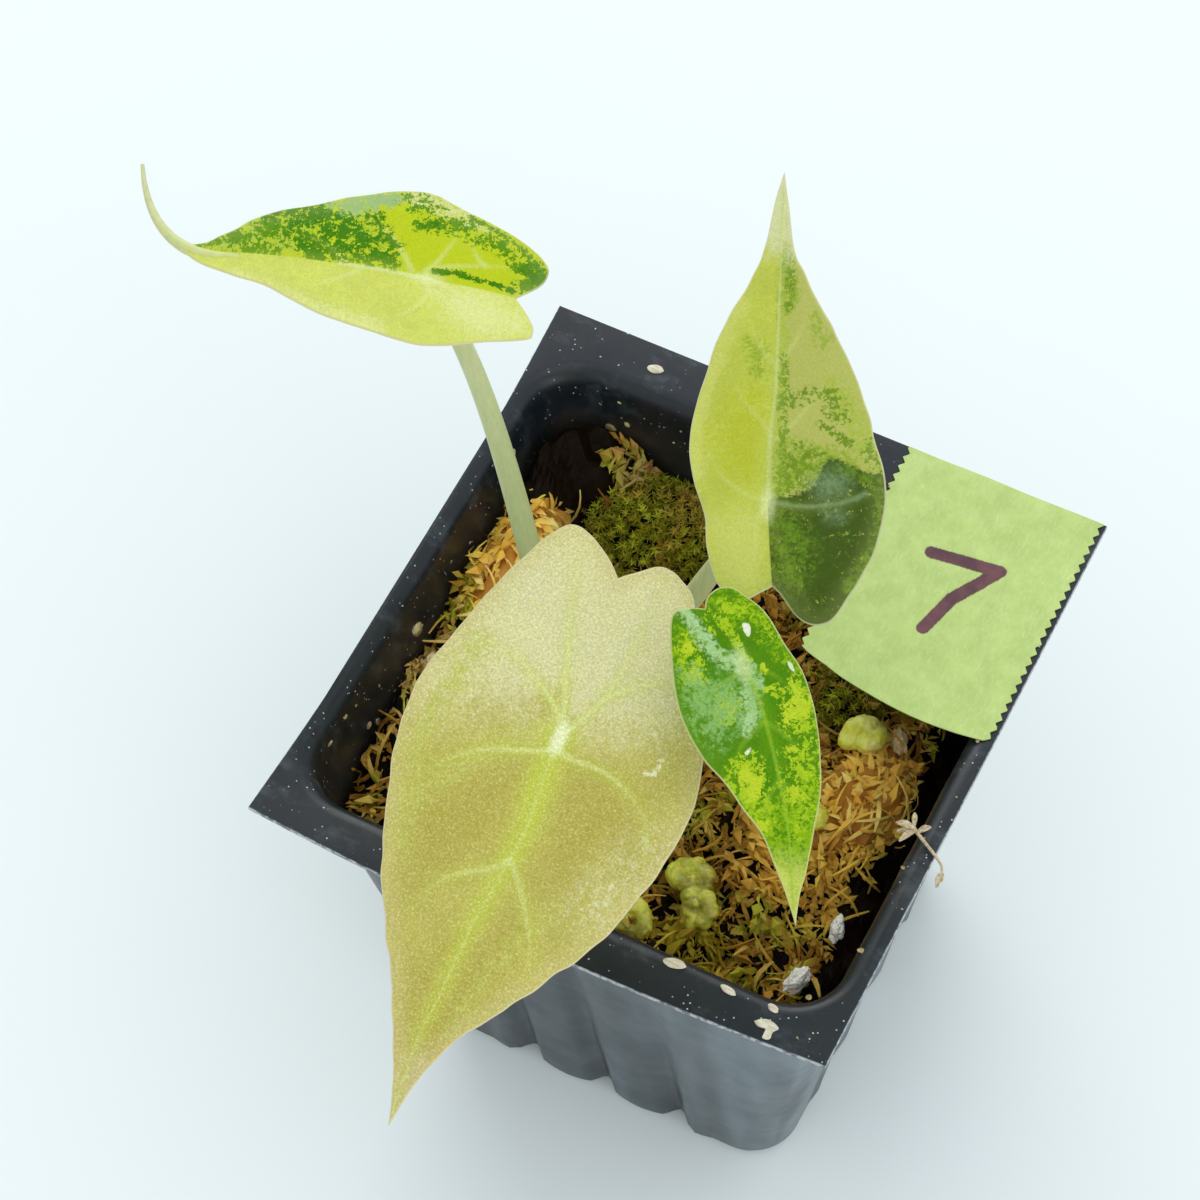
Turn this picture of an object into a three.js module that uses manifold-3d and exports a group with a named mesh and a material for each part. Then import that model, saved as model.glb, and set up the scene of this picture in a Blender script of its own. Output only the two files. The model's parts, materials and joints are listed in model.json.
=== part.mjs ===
// A young variegated kris plant in a square black nursery pot.
// Units are millimetres and +Z is up. The origin is the centre of the pot's underside, the long
// side of the front flange faces -Y, and +X is to the right seen from the front.

import * as THREE from 'three';
import { mergeVertices } from 'three/addons/utils/BufferGeometryUtils.js';
import Module from 'manifold-3d';

const wasm = await Module();
wasm.setup();

// Driving dimensions of the pot
const POT_HEIGHT = 67.5;
const RIM_HALF_X = 35;
const RIM_HALF_Y = 37.25;
const RIM_BOW = 1.2;
const SHEET = 0.8;
const MOUTH_HALF_X = 32.65;
const MOUTH_HALF_Y = 31.65;
const MOUTH_SHIFT_Y = -1.05;
const MOUTH_CORNER = 6.5;
const BASE_HALF_X = 23;
const BASE_HALF_Y = 23.9;
const BASE_CORNER = 5.7;
const GROOVE_PITCH = 10;
const GROOVE_HALF_WIDTH = 2.2;
const GROOVE_DEPTH = 1.7;
const LOBE_RISE = 0.35;
const LIP_BAND = 2;
const LIP_DROP = 2.2;
const FOOT_BEVEL = 1.5;
const DRAIN_HOLE_RADIUS = 2.6;
const DRAIN_HOLE_AT = 13;

// Driving dimensions of the filling and of the plant
const SEAT_GAP = 0.3;
const MOSS_DROP = 16.5;
const MOSS_LEFT_RISE = 8;
const MOSS_BACK_RISE = 4;
const FILL_FOOT = 3.5;
const FILL_BELOW_RIM = 3;
const CROWN = [-9, -2];
const CORM_TOP = 42.2;
const CORM_HEIGHT = 12;
const CORM_RADIUS = 5;
const BLADE_THICKNESS = 0.6;
const STRAND_COUNT = 92;

// Each leaf: where blade and stalk meet, which way the tip points, how the blade bends, its
// outline and its stalk. Outlines are across and along the midrib, from the notch to the tip.
const LEAVES = {
  leaf_front: {
    color: 0xb7a95a, junction: [-0.2, -27.7, 95.2], heading: -88.4, pitch: -18, roll: 0,
    fold: 7, edgeDrop: 0.006, droop: 0.008, lobeDroop: 0.008, wave: 0.35,
    outline: [
      [[1.6, -17.9], [4, -20.2], [7.7, -21.5], [10, -19.7], [12.7, -13.1], [14.9, -6.4],
        [16.3, -0.2], [15.7, 7.1], [14.1, 13.4], [11.8, 19.8], [8.9, 25.4], [5.9, 31.1],
        [2.9, 39], [1.8, 43.8]],
      [[1.6, -17.9], [-0.1, -19.8], [-2.3, -21], [-4.6, -20.3], [-7.1, -18.2], [-11.7, -10],
        [-14.9, -2.8], [-15.9, 4], [-14.8, 10.5], [-11.7, 18.5], [-7.1, 25.5], [-2.2, 32.4],
        [0.3, 37.5], [1.8, 43.8]],
    ],
    stalk: [[-9.5, -4.6, 42.9], [-8.5, -6.9, 61.7], [-2.1, -23.1, 77.7]],
    stalkRadius: [1.7, 1.05],
  },
  leaf_back_left: {
    color: 0x9fb63a, junction: [-31.5, 3.5, 118.3], heading: -159.5, pitch: 4, roll: 0,
    fold: 6, edgeDrop: 0.01, droop: 0.004, lobeDroop: 0.01, wave: 0.3,
    curl: { from: 21.5, to: 37, up: 0.01, side: 0.14, radius: [0.85, 0.32] },
    outline: [
      [[-1.1, -10], [0.8, -12.3], [2.2, -13], [3.5, -12.6], [5.6, -9.8], [9.1, -3],
        [10.3, 1], [9, 8.6], [7.4, 12.5], [5.7, 16.6], [2.2, 21.4], [0.7, 24], [0, 25.5]],
      [[-1.1, -10], [-3.8, -11.9], [-5.2, -12.3], [-6.5, -11.3], [-8.1, -5], [-8.6, 1],
        [-7.2, 6.5], [-5.7, 10.8], [-3.7, 15.1], [-2.6, 19.1], [-1.5, 22.5], [-0.7, 24.5],
        [0, 25.5]],
    ],
    stalk: [[-11.5, -1.3, 42.9], [-16.5, -4.6, 67.5], [-23.9, 7.3, 96.2]],
    stalkRadius: [1.7, 0.95],
  },
  leaf_small: {
    color: 0x4f9a22, junction: [15.5, -17.5, 106.3], heading: -51.7, pitch: -20, roll: 0,
    fold: 8, edgeDrop: 0.01, droop: 0.008, lobeDroop: 0.01, wave: 0.2,
    outline: [
      [[2.5, -6.3], [4.2, -6.7], [5.6, -6.5], [6.3, -5], [7.1, 0], [7, 4.3], [5.8, 8.4],
        [4.3, 10.8], [2.9, 14], [1.4, 17.2], [0.7, 20.3], [0.1, 23.4], [-0.3, 26.8]],
      [[2.5, -6.3], [2, -7.5], [0.7, -8.3], [-0.6, -8.1], [-1.8, -6.9], [-3.4, -4.8],
        [-4.8, -1.1], [-5.9, 2.1], [-6.3, 6.9], [-5.8, 11.4], [-5, 14.7], [-2.6, 20.9],
        [-1.2, 23.8], [-0.3, 26.8]],
    ],
    stalk: [[-6.5, -2.7, 42.9], [-4.3, -4.2, 65.3], [11.1, -14.5, 85.6]],
    stalkRadius: [1.4, 0.8],
  },
  leaf_back_right: {
    color: 0x9cae4c, junction: [9.3, 1.5, 105.2], heading: 113.8, pitch: 14, roll: 6,
    fold: 8, edgeDrop: 0.008, droop: 0.004, lobeDroop: 0.008, wave: 0.3,
    outline: [
      [[0.7, -8.8], [1.6, -9.8], [3, -11.7], [4.6, -12.8], [6.2, -12.9], [7.5, -11.9],
        [10, -7.8], [11.6, -3.6], [12.2, 1.5], [10.8, 7.2], [9.6, 11.3], [7.7, 16],
        [5.6, 20.2], [3.1, 25.1], [1.6, 28.6], [0.8, 31.9], [0.2, 37.6]],
      [[0.7, -8.8], [-0.6, -9.4], [-2, -10.1], [-3.4, -9.7], [-4.9, -8.7], [-6.1, -5],
        [-6.6, -1.1], [-7.7, 2.1], [-8.4, 6], [-8.2, 9.8], [-7.3, 13.6], [-6.1, 18.1],
        [-4.5, 21.8], [-2.6, 25.5], [-1.5, 29.3], [-0.8, 32.2], [0.2, 37.6]],
    ],
    stalk: [[-8.1, 0.4, 42.9], [-6.3, 0.6, 64], [2.5, 1.5, 86.7]],
    stalkRadius: [1.6, 1],
  },
};

const part = new THREE.Group();

// Small helpers

// A repeatable source of random numbers between low and high
function seeded(seed) {
  let state = seed;
  return (low, high) => {
    state = (state + 0x6d2b79f5) | 0;
    let mixed = Math.imul(state ^ (state >>> 15), 1 | state);
    mixed = (mixed + Math.imul(mixed ^ (mixed >>> 7), 61 | mixed)) ^ mixed;
    return low + (high - low) * (((mixed ^ (mixed >>> 14)) >>> 0) / 4294967296);
  };
}

function radians(degrees) {
  return THREE.MathUtils.degToRad(degrees);
}

function closedMesh(positions, triangles) {
  const geometry = new THREE.BufferGeometry();
  geometry.setAttribute('position', new THREE.Float32BufferAttribute(positions, 3));
  geometry.setIndex(triangles);
  return geometry;
}

function solidOf(geometry) {
  const bare = geometry.clone();
  bare.deleteAttribute('normal');
  bare.deleteAttribute('uv');
  const merged = mergeVertices(bare, 1e-4);
  return new wasm.Manifold(new wasm.Mesh({
    numProp: 3,
    vertProperties: new Float32Array(merged.getAttribute('position').array),
    triVerts: new Uint32Array(merged.getIndex().array),
  }));
}

function largestBody(solid) {
  const bodies = solid.simplify(0.02).decompose();
  bodies.sort((a, b) => b.volume() - a.volume());
  return bodies[0];
}

function geometryOf(solid) {
  const mesh = solid.getMesh();
  return closedMesh(Array.from(mesh.vertProperties), Array.from(mesh.triVerts));
}

function addMesh(name, geometry, color, roughness = 0.7) {
  const material = new THREE.MeshStandardMaterial({ color, roughness, metalness: 0 });
  const mesh = new THREE.Mesh(geometry, material);
  mesh.name = name;
  part.add(mesh);
  return mesh;
}

// Rings of points joined by quads, closed by a centre point at each end. Long quads on the
// grooved wall are split the same way on the pot and on its filling, which needs rising true.
function skin(rings, capStart, capEnd, rising = false) {
  const count = rings[0].length;
  const positions = rings.flat(2);
  const triangles = [];
  for (let r = 0; r + 1 < rings.length; r++) {
    for (let i = 0; i < count; i++) {
      const a = r * count + i;
      const b = r * count + (i + 1) % count;
      if (rising) triangles.push(a, b, a + count, b, b + count, a + count);
      else triangles.push(a, b, b + count, a, b + count, a + count);
    }
  }
  const last = (rings.length - 1) * count;
  const first = positions.push(...capStart) / 3 - 1;
  const end = positions.push(...capEnd) / 3 - 1;
  for (let i = 0; i < count; i++) {
    const j = (i + 1) % count;
    triangles.push(first, j, i, end, last + i, last + j);
  }
  return closedMesh(positions, triangles);
}

// A closed tube of changing radius along a curve, flattened by the factor flat
function taperedTube(curve, radiusAt, sides, steps, flat = 1) {
  const frames = curve.computeFrenetFrames(steps, false);
  const rings = [];
  for (let s = 0; s <= steps; s++) {
    const centre = curve.getPointAt(s / steps);
    const radius = radiusAt(s / steps);
    const ring = [];
    for (let i = 0; i < sides; i++) {
      const angle = 2 * Math.PI * i / sides;
      const point = centre.clone()
        .addScaledVector(frames.normals[s], radius * Math.cos(angle))
        .addScaledVector(frames.binormals[s], radius * flat * Math.sin(angle));
      ring.push(point.toArray());
    }
    rings.push(ring);
  }
  return skin(rings, curve.getPointAt(0).toArray(), curve.getPointAt(1).toArray());
}

function taper(start, end) {
  return (t) => start + (end - start) * t;
}

// An ellipsoid whose upper half may be drawn up by the factor top
function ellipsoid(centre, radii, turn = 0, top = 1) {
  const geometry = new THREE.SphereGeometry(1, 12, 7);
  geometry.rotateX(Math.PI / 2);
  geometry.scale(...radii);
  const position = geometry.getAttribute('position');
  for (let v = 0; v < position.count; v++) {
    if (position.getZ(v) > 0) position.setZ(v, position.getZ(v) * top);
  }
  geometry.rotateZ(radians(turn));
  geometry.translate(...centre);
  return geometry;
}

// The pot: one thin formed sheet with a flat flange, a rounded lip and grooved walls

const SIDE_STATIONS = [-15, -12.2, -10, -7.8, -5, -2.2, 0, 2.2, 5, 7.8, 10, 12.2, 15];

function grooveAt(station, height) {
  const depth = 1 - height / POT_HEIGHT;
  const fromGroove = Math.abs(station - GROOVE_PITCH * Math.round(station / GROOVE_PITCH));
  if (Math.abs(station) > 12.5) return 0;
  if (fromGroove < 0.1) return -GROOVE_DEPTH * depth;
  return fromGroove > GROOVE_HALF_WIDTH + 0.1 ? LOBE_RISE * depth : 0;
}

// One ring of the wall at a height, moved out by an offset; corners have three inner points
function wallRing(height, offset, z = height) {
  const t = Math.max(0, height) / POT_HEIGHT;
  const halfX = BASE_HALF_X + (MOUTH_HALF_X - BASE_HALF_X) * t + offset;
  const halfY = BASE_HALF_Y + (MOUTH_HALF_Y - BASE_HALF_Y) * t + offset;
  const corner = Math.max(1, BASE_CORNER + (MOUTH_CORNER - BASE_CORNER) * t + offset);
  const shift = MOUTH_SHIFT_Y * t;
  const ring = [];
  for (let side = 0; side < 4; side++) {
    const along = side % 2 ? halfY : halfX;
    const out = side % 2 ? halfX : halfY;
    const stations = [corner - along, ...SIDE_STATIONS, along - corner];
    const points = stations.map((s) => [s, -out - grooveAt(s, height)]);
    for (let k = 1; k <= 3; k++) {
      const angle = k * Math.PI / 8;
      points.push([along - corner + corner * Math.sin(angle),
        -out + corner - corner * Math.cos(angle)]);
    }
    const turn = side * Math.PI / 2;
    for (const [x, y] of points) {
      ring.push([x * Math.cos(turn) - y * Math.sin(turn),
        x * Math.sin(turn) + y * Math.cos(turn) + shift, z]);
    }
  }
  return ring;
}

// The sheared outline of the flange: its front edge bows out and its left edge bows in
function flangeRing(z) {
  const ring = wallRing(POT_HEIGHT, 0);
  const perSide = ring.length / 4;
  const bow = (share) => RIM_BOW * (1 - share * share);
  return ring.map(([x, y], i) => {
    const k = i % perSide;
    const atCorner = k === perSide - 2;
    const side = (Math.floor(i / perSide) + (k === perSide - 1 ? 1 : 0)) % 4;
    const edgeX = RIM_HALF_X * Math.sign(x);
    const edgeY = RIM_HALF_Y * Math.sign(y);
    if (atCorner) return [edgeX, edgeY, z];
    if (side === 0) return [x, edgeY - bow(x / RIM_HALF_X), z];
    if (side === 3) return [edgeX + bow(y / RIM_HALF_Y), y, z];
    return side === 2 ? [x, edgeY, z] : [edgeX, y, z];
  });
}

function makePot() {
  const under = POT_HEIGHT - SHEET;
  const rings = [
    wallRing(0, -FOOT_BEVEL),
    wallRing(FOOT_BEVEL, SHEET / 2),
    wallRing(under - FOOT_BEVEL, SHEET / 2),
    wallRing(POT_HEIGHT, LIP_BAND * 0.8, under),
    flangeRing(under),
    flangeRing(POT_HEIGHT),
    wallRing(POT_HEIGHT, LIP_BAND * 0.7),
    wallRing(POT_HEIGHT, LIP_BAND * 0.15, POT_HEIGHT - 0.6),
    wallRing(POT_HEIGHT - LIP_DROP, -SHEET / 2),
    wallRing(FOOT_BEVEL + SHEET, -SHEET / 2),
    wallRing(0, -FOOT_BEVEL - SHEET, SHEET),
  ];
  let pot = solidOf(skin(rings, [0, 0, 0], [0, 0, SHEET]));
  for (const [sx, sy] of [[1, 1], [1, -1], [-1, 1], [-1, -1]]) {
    const drill = new THREE.CylinderGeometry(DRAIN_HOLE_RADIUS, DRAIN_HOLE_RADIUS, 6, 14);
    drill.rotateX(Math.PI / 2);
    drill.translate(sx * DRAIN_HOLE_AT, sy * DRAIN_HOLE_AT, 0);
    pot = pot.subtract(solidOf(drill));
  }
  addMesh('pot', geometryOf(pot), 0x22262c, 0.35);
}

// The blade: a surface that follows a bent midrib, folded a little along it

function bladeFrame(leaf) {
  const heading = radians(leaf.heading);
  const pitch = radians(leaf.pitch);
  const along = new THREE.Vector3(Math.cos(heading) * Math.cos(pitch),
    Math.sin(heading) * Math.cos(pitch), Math.sin(pitch));
  const up = new THREE.Vector3(0, 0, 1).addScaledVector(along, -along.z).normalize();
  up.applyAxisAngle(along, -radians(leaf.roll));
  return { along, up, across: along.clone().cross(up) };
}

// Walks along the midrib from the junction and returns the point and direction there
function midrib(leaf, frame, distance) {
  const step = 0.5;
  const point = new THREE.Vector3(...leaf.junction);
  const direction = frame.along.clone();
  const sign = Math.sign(distance);
  const curl = leaf.curl;
  for (let done = 0; done < Math.abs(distance); done += step) {
    const length = Math.min(step, Math.abs(distance) - done);
    const bend = frame.up.clone().multiplyScalar(sign > 0 ? -leaf.droop : leaf.lobeDroop);
    if (curl && sign > 0 && done >= curl.from && done < curl.to) {
      bend.addScaledVector(frame.up, curl.up).addScaledVector(frame.across, curl.side);
    }
    bend.addScaledVector(direction, -bend.dot(direction));
    direction.addScaledVector(bend, length / 2).normalize();
    point.addScaledVector(direction, sign * length);
    direction.addScaledVector(bend, length / 2).normalize();
  }
  return { point, direction };
}

function bladePoint(leaf, frame, x, y, lift) {
  const { point, direction } = midrib(leaf, frame, y);
  const normal = frame.up.clone().addScaledVector(direction, -frame.up.dot(direction)).normalize();
  const side = direction.clone().cross(normal);
  const rise = Math.tan(radians(leaf.fold)) * Math.abs(x) - leaf.edgeDrop * x * x;
  return point.addScaledVector(side, x).addScaledVector(normal, rise + lift);
}

function bladeOutline(leaf, perSide) {
  const sides = leaf.outline.map((points) => {
    const curve = new THREE.SplineCurve(points.map((p) => new THREE.Vector2(...p)));
    return curve.getSpacedPoints(perSide);
  });
  return [...sides[0], ...sides[1].reverse().slice(1, -1)];
}

function makeBlade(leaf, perSide = 17) {
  const frame = bladeFrame(leaf);
  const outline = bladeOutline(leaf, perSide);
  const fractions = [0.25, 0.52, 0.78, 1];
  const rings = (face) => fractions.map((f) => outline.map((edge) => {
    const angle = Math.atan2(edge.x, edge.y);
    const ripple = leaf.wave * f ** 3 * Math.sin(5 * angle + 1.3);
    return bladePoint(leaf, frame, edge.x * f, edge.y * f, ripple + face * BLADE_THICKNESS / 2)
      .toArray();
  }));
  const top = rings(1).reverse();
  const bottom = rings(-1);
  const centreTop = bladePoint(leaf, frame, 0, 0, BLADE_THICKNESS / 2).toArray();
  const centreBottom = bladePoint(leaf, frame, 0, 0, -BLADE_THICKNESS / 2).toArray();
  return alikeSkin(bottom, top, centreBottom, centreTop);
}

// Two faces with the same split of each quad, so that they never cross
function alikeSkin(bottom, top, centreBottom, centreTop) {
  const count = bottom[0].length;
  const rings = [...bottom, ...top];
  const positions = rings.flat(2);
  positions.push(...centreBottom, ...centreTop);
  const startPoint = rings.length * count;
  const triangles = [];
  for (let r = 0; r + 1 < rings.length; r++) {
    const onTop = r >= bottom.length;
    for (let i = 0; i < count; i++) {
      const j = (i + 1) % count;
      const [a, b, c, d] = [r * count + i, r * count + j, (r + 1) * count + j, (r + 1) * count + i];
      if (onTop) triangles.push(a, b, d, b, c, d);
      else triangles.push(a, b, c, a, c, d);
    }
  }
  for (let i = 0; i < count; i++) {
    const j = (i + 1) % count;
    const last = (rings.length - 1) * count;
    triangles.push(startPoint, j, i, startPoint + 1, last + i, last + j);
  }
  return closedMesh(positions, triangles);
}

function stalkCurve(leaf) {
  const [a, b, c] = leaf.stalk.map((p) => new THREE.Vector3(...p));
  const end = new THREE.Vector3(...leaf.junction);
  end.addScaledVector(end.clone().sub(c).normalize(), -0.15);
  return new THREE.CubicBezierCurve3(a, b, c, end);
}

function stalkTube(leaf, extra) {
  const [base, top] = leaf.stalkRadius;
  return taperedTube(stalkCurve(leaf), taper(base + extra, top + extra), 8, 8);
}

function curlTube(leaf) {
  const frame = bladeFrame(leaf);
  const points = [];
  for (let y = leaf.curl.from - 1; y <= leaf.curl.to; y += 1.5) {
    points.push(midrib(leaf, frame, y).point);
  }
  const [thick, thin] = leaf.curl.radius;
  return taperedTube(new THREE.CatmullRomCurve3(points), taper(thick, thin), 5, 12);
}

function makeLeaf(name, leaf) {
  let solid = solidOf(makeBlade(leaf)).add(solidOf(stalkTube(leaf, 0)));
  if (leaf.curl) solid = solid.add(solidOf(curlTube(leaf)));
  addMesh(name, geometryOf(largestBody(solid)), leaf.color, 0.45);
}

// The corm under the crown, with roots reaching into the moss

function cormGeometry(extra) {
  const r = CORM_RADIUS + extra;
  const bottom = CORM_TOP - CORM_HEIGHT - extra;
  const profile = [[0, bottom], [r * 0.55, bottom + 1], [r * 0.9, bottom + 4], [r, bottom + 7],
    [r * 0.97, CORM_TOP - 1.5], [r * 0.94, CORM_TOP + extra], [0, CORM_TOP + extra]];
  const lathe = new THREE.LatheGeometry(profile.map((p) => new THREE.Vector2(...p)), 12);
  lathe.rotateX(Math.PI / 2);
  lathe.translate(CROWN[0], CROWN[1], 0);
  return lathe;
}

function rootCurves() {
  const random = seeded(11);
  const curves = [];
  const count = 7;
  for (let i = 0; i < count; i++) {
    const angle = 2 * Math.PI * (i + random(-0.25, 0.25)) / count;
    const reach = random(10, 17);
    const fall = random(14, 24);
    const out = (d, drop) => new THREE.Vector3(CROWN[0] + d * Math.cos(angle),
      CROWN[1] + d * Math.sin(angle), CORM_TOP - 7 - drop);
    curves.push(new THREE.CubicBezierCurve3(out(3, 0), out(reach * 0.6, 1),
      out(reach, fall * 0.5), out(reach * random(0.8, 1.05), fall)));
  }
  return curves;
}

function cormSolid(extra) {
  const roots = rootCurves().map((curve) => {
    return solidOf(taperedTube(curve, taper(0.9 + extra, 0.45 + extra), 4, 5));
  });
  return wasm.Manifold.union([solidOf(cormGeometry(extra)), ...roots]);
}

// The moss filling

// Height of the bed: high at the left wall and the back, low at the front and along the walls
function mossHeight(x, y) {
  const left = THREE.MathUtils.smoothstep(-x, 15, 30);
  const back = THREE.MathUtils.smoothstep(y, 5, 27);
  const front = THREE.MathUtils.smoothstep(-y, 8, 28);
  const rim = THREE.MathUtils.smoothstep(Math.max(Math.abs(x), Math.abs(y + 1)), 24, 31);
  const lumps = 1.5 * Math.sin(0.42 * x + 1.1) * Math.cos(0.36 * y - 0.4)
    + 0.9 * Math.sin(0.9 * x - 0.7 * y) + 0.6 * Math.cos(1.3 * y + 0.8 * x + 2);
  return POT_HEIGHT - MOSS_DROP + MOSS_LEFT_RISE * left + MOSS_BACK_RISE * back
    - 0.8 * front - 2 * rim + lumps;
}

// A block of moss with a lumpy top, wider than the pot, to be cut to the space inside it
function mossBlock() {
  const cells = 12;
  const size = 68;
  const grid = new THREE.BoxGeometry(size, size, 1, cells, cells, 1);
  const position = grid.getAttribute('position');
  for (let v = 0; v < position.count; v++) {
    const high = position.getZ(v) > 0;
    position.setZ(v, high ? mossHeight(position.getX(v), position.getY(v)) : SHEET);
  }
  return solidOf(grid);
}

// The space that the filling may take, up to just under the lip
function fillSpace() {
  const inset = -SHEET / 2 - SEAT_GAP;
  const top = POT_HEIGHT - FILL_BELOW_RIM;
  const rings = [wallRing(0, -FILL_FOOT, SHEET), wallRing(FILL_FOOT, inset), wallRing(top, inset)];
  return solidOf(skin(rings, [0, 0, SHEET], [0, MOUTH_SHIFT_Y, top], true));
}

// One bent flat strand that starts and ends in the surface it grows from
function strand(start, angle, length, rise, width, tipDrop) {
  const at = (d, z) => new THREE.Vector3(start.x + d * Math.cos(angle),
    start.y + d * Math.sin(angle), start.z + z);
  const curve = new THREE.QuadraticBezierCurve3(at(0, -1.2), at(length * 0.5, rise * 2),
    at(length, tipDrop));
  const widthAt = (t) => width * (0.5 + 0.9 * Math.sin(Math.PI * (0.15 + 0.75 * t)));
  return solidOf(taperedTube(curve, widthAt, 3, 3, 0.6));
}

function surfaceStrands(count, seed, place) {
  const random = seeded(seed);
  const strands = [];
  for (let i = 0; i < count; i++) {
    const start = place(random);
    strands.push(strand(start, random(0, 2 * Math.PI), random(4.5, 9.5), random(1, 2.4),
      random(0.6, 1.15), random(-1.6, 0.8)));
  }
  return strands;
}

// Moss of another colour: a core with strands, all inside one rounded region of the bed
const CORE_SHARE = 0.95;
const CLUMP_TOP = 1.5;
const CLUMPS = {
  moss_gold_left: { color: 0xc08a2c, at: [-26.5, 7.5, 57], radii: [3.9, 12, 4.6], turn: 2,
    strands: 15, seed: 31 },
  moss_rust_right: { color: 0xa8622c, at: [22.3, 0.5, 51.5], radii: [5, 7.5, 4.2], turn: -12,
    strands: 11, seed: 47 },
};

function clumpSolid(clump) {
  const [cx, cy, cz] = clump.at;
  const core = ellipsoid(clump.at, clump.radii.map((r) => r * CORE_SHARE), clump.turn);
  const strands = surfaceStrands(clump.strands, clump.seed, (random) => {
    const angle = random(0, 2 * Math.PI);
    const reach = Math.sqrt(random(0, 0.6));
    return new THREE.Vector3(cx + clump.radii[0] * reach * Math.cos(angle),
      cy + clump.radii[1] * reach * Math.sin(angle), cz + clump.radii[2] * 0.8 * (1 - reach * reach));
  });
  return wasm.Manifold.union([solidOf(core), ...strands])
    .intersect(solidOf(ellipsoid(clump.at, clump.radii, clump.turn, CLUMP_TOP)));
}

// Live green moss: cushions covered with small pointed leaves
const CUSHION_TOP = 1.9;
const CUSHIONS = {
  moss_green_back: { color: 0x5d8a1e, at: [-15.5, 21.5, 53], radii: [8.5, 7, 3.4], leaves: 60,
    seed: 5 },
  moss_green_right: { color: 0x7c9a2a, at: [15.5, 13.5, 51.5], radii: [4.2, 4.6, 2.8], leaves: 24,
    seed: 9 },
};

function cushionSolid(cushion) {
  const random = seeded(cushion.seed);
  const pieces = [solidOf(ellipsoid(cushion.at, cushion.radii.map((r) => r * CORE_SHARE)))];
  for (let i = 0; i < cushion.leaves; i++) {
    const turn = i * 2.4;
    const lift = 0.3 + 0.7 * (i + 0.5) / cushion.leaves;
    const flat = Math.sqrt(1 - lift * lift);
    const out = new THREE.Vector3(flat * Math.cos(turn), flat * Math.sin(turn), lift);
    const root = out.clone().multiply(new THREE.Vector3(...cushion.radii)).multiplyScalar(0.8);
    const height = random(2.2, 3.4);
    const leaf = new THREE.ConeGeometry(random(0.45, 0.62), height, 3);
    leaf.translate(0, height / 2, 0);
    const lean = out.clone().add(new THREE.Vector3(random(-0.5, 0.5), random(-0.5, 0.5), 0.5));
    leaf.applyQuaternion(new THREE.Quaternion().setFromUnitVectors(
      new THREE.Vector3(0, 1, 0), lean.normalize()));
    leaf.translate(...root.toArray().map((v, k) => v + cushion.at[k]));
    pieces.push(solidOf(leaf));
  }
  return wasm.Manifold.union(pieces)
    .intersect(solidOf(ellipsoid(cushion.at, cushion.radii, 0, CUSHION_TOP)));
}

// Plump yellow-green moss heads, each a few curled lobes grown together
const HEADS = {
  moss_head_front: { at: [10, -19, 53.6], lobes: [[-1.2, 1.8, 0, 2.5], [2, -1.9, -0.2, 2.2],
    [0.2, -0.3, -1, 2.3], [1.4, 0.9, -0.6, 1.7]] },
  moss_head_low: { at: [5.4, -24.6, 51.4], lobes: [[0, 0, 0, 2.3], [-1.4, 1, -0.4, 1.8],
    [1, 1.2, -0.5, 1.6]] },
  moss_head_back: { at: [19.2, 6.6, 55.5], lobes: [[0, 0, 0, 2.4], [1.4, 1.1, -0.4, 1.9],
    [-1.3, -0.7, -0.6, 1.7]] },
  moss_head_side: { at: [18.4, -5.4, 55.2], lobes: [[0, 0, 0, 1.9], [0.9, -1.2, -0.4, 1.6],
    [-0.5, 1.3, -0.5, 1.5]] },
};

function headSolid(head, extra) {
  const lobes = head.lobes.map(([x, y, z, r], i) => {
    const lobe = new THREE.IcosahedronGeometry(r + extra, 1);
    const position = lobe.getAttribute('position');
    for (let v = 0; v < position.count; v++) {
      const p = new THREE.Vector3().fromBufferAttribute(position, v);
      const crease = extra ? 1 : 1 + 0.09 * Math.sin(2.6 * p.x + i) * Math.cos(2.2 * p.y)
        - 0.06 * Math.cos(3.1 * p.z + 2 * i) - 0.04;
      position.setXYZ(v, ...p.multiplyScalar(crease).toArray());
    }
    lobe.translate(head.at[0] + x, head.at[1] + y, head.at[2] + z);
    return solidOf(lobe);
  });
  return wasm.Manifold.union(lobes);
}

// White perlite grains and pale bits of bark on the moss
const GRAINS = {
  perlite_corner: { at: [25.2, -23.4, 52.6], radii: [1, 1.9, 1.1], turn: -20, color: 0xe8e6e0 },
  perlite_side: { at: [26.5, -15.7, 52.4], radii: [0.8, 1.5, 0.8], turn: 12, color: 0xd8d2c4 },
  bark_chip_back: { at: [22.9, 8.4, 53.6], radii: [0.8, 1.6, 0.7], turn: 35, color: 0xc9b98f },
  bark_chip_left: { at: [-28.2, -8.2, 57.4], radii: [1.3, 1.9, 1.1], turn: 15, color: 0xc99a4e },
};

function grainSolid(grain, extra) {
  const geometry = new THREE.DodecahedronGeometry(1, 0);
  geometry.scale(...grain.radii.map((r) => r + extra));
  geometry.rotateZ(radians(grain.turn));
  geometry.translate(...grain.at);
  return solidOf(geometry);
}

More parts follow.
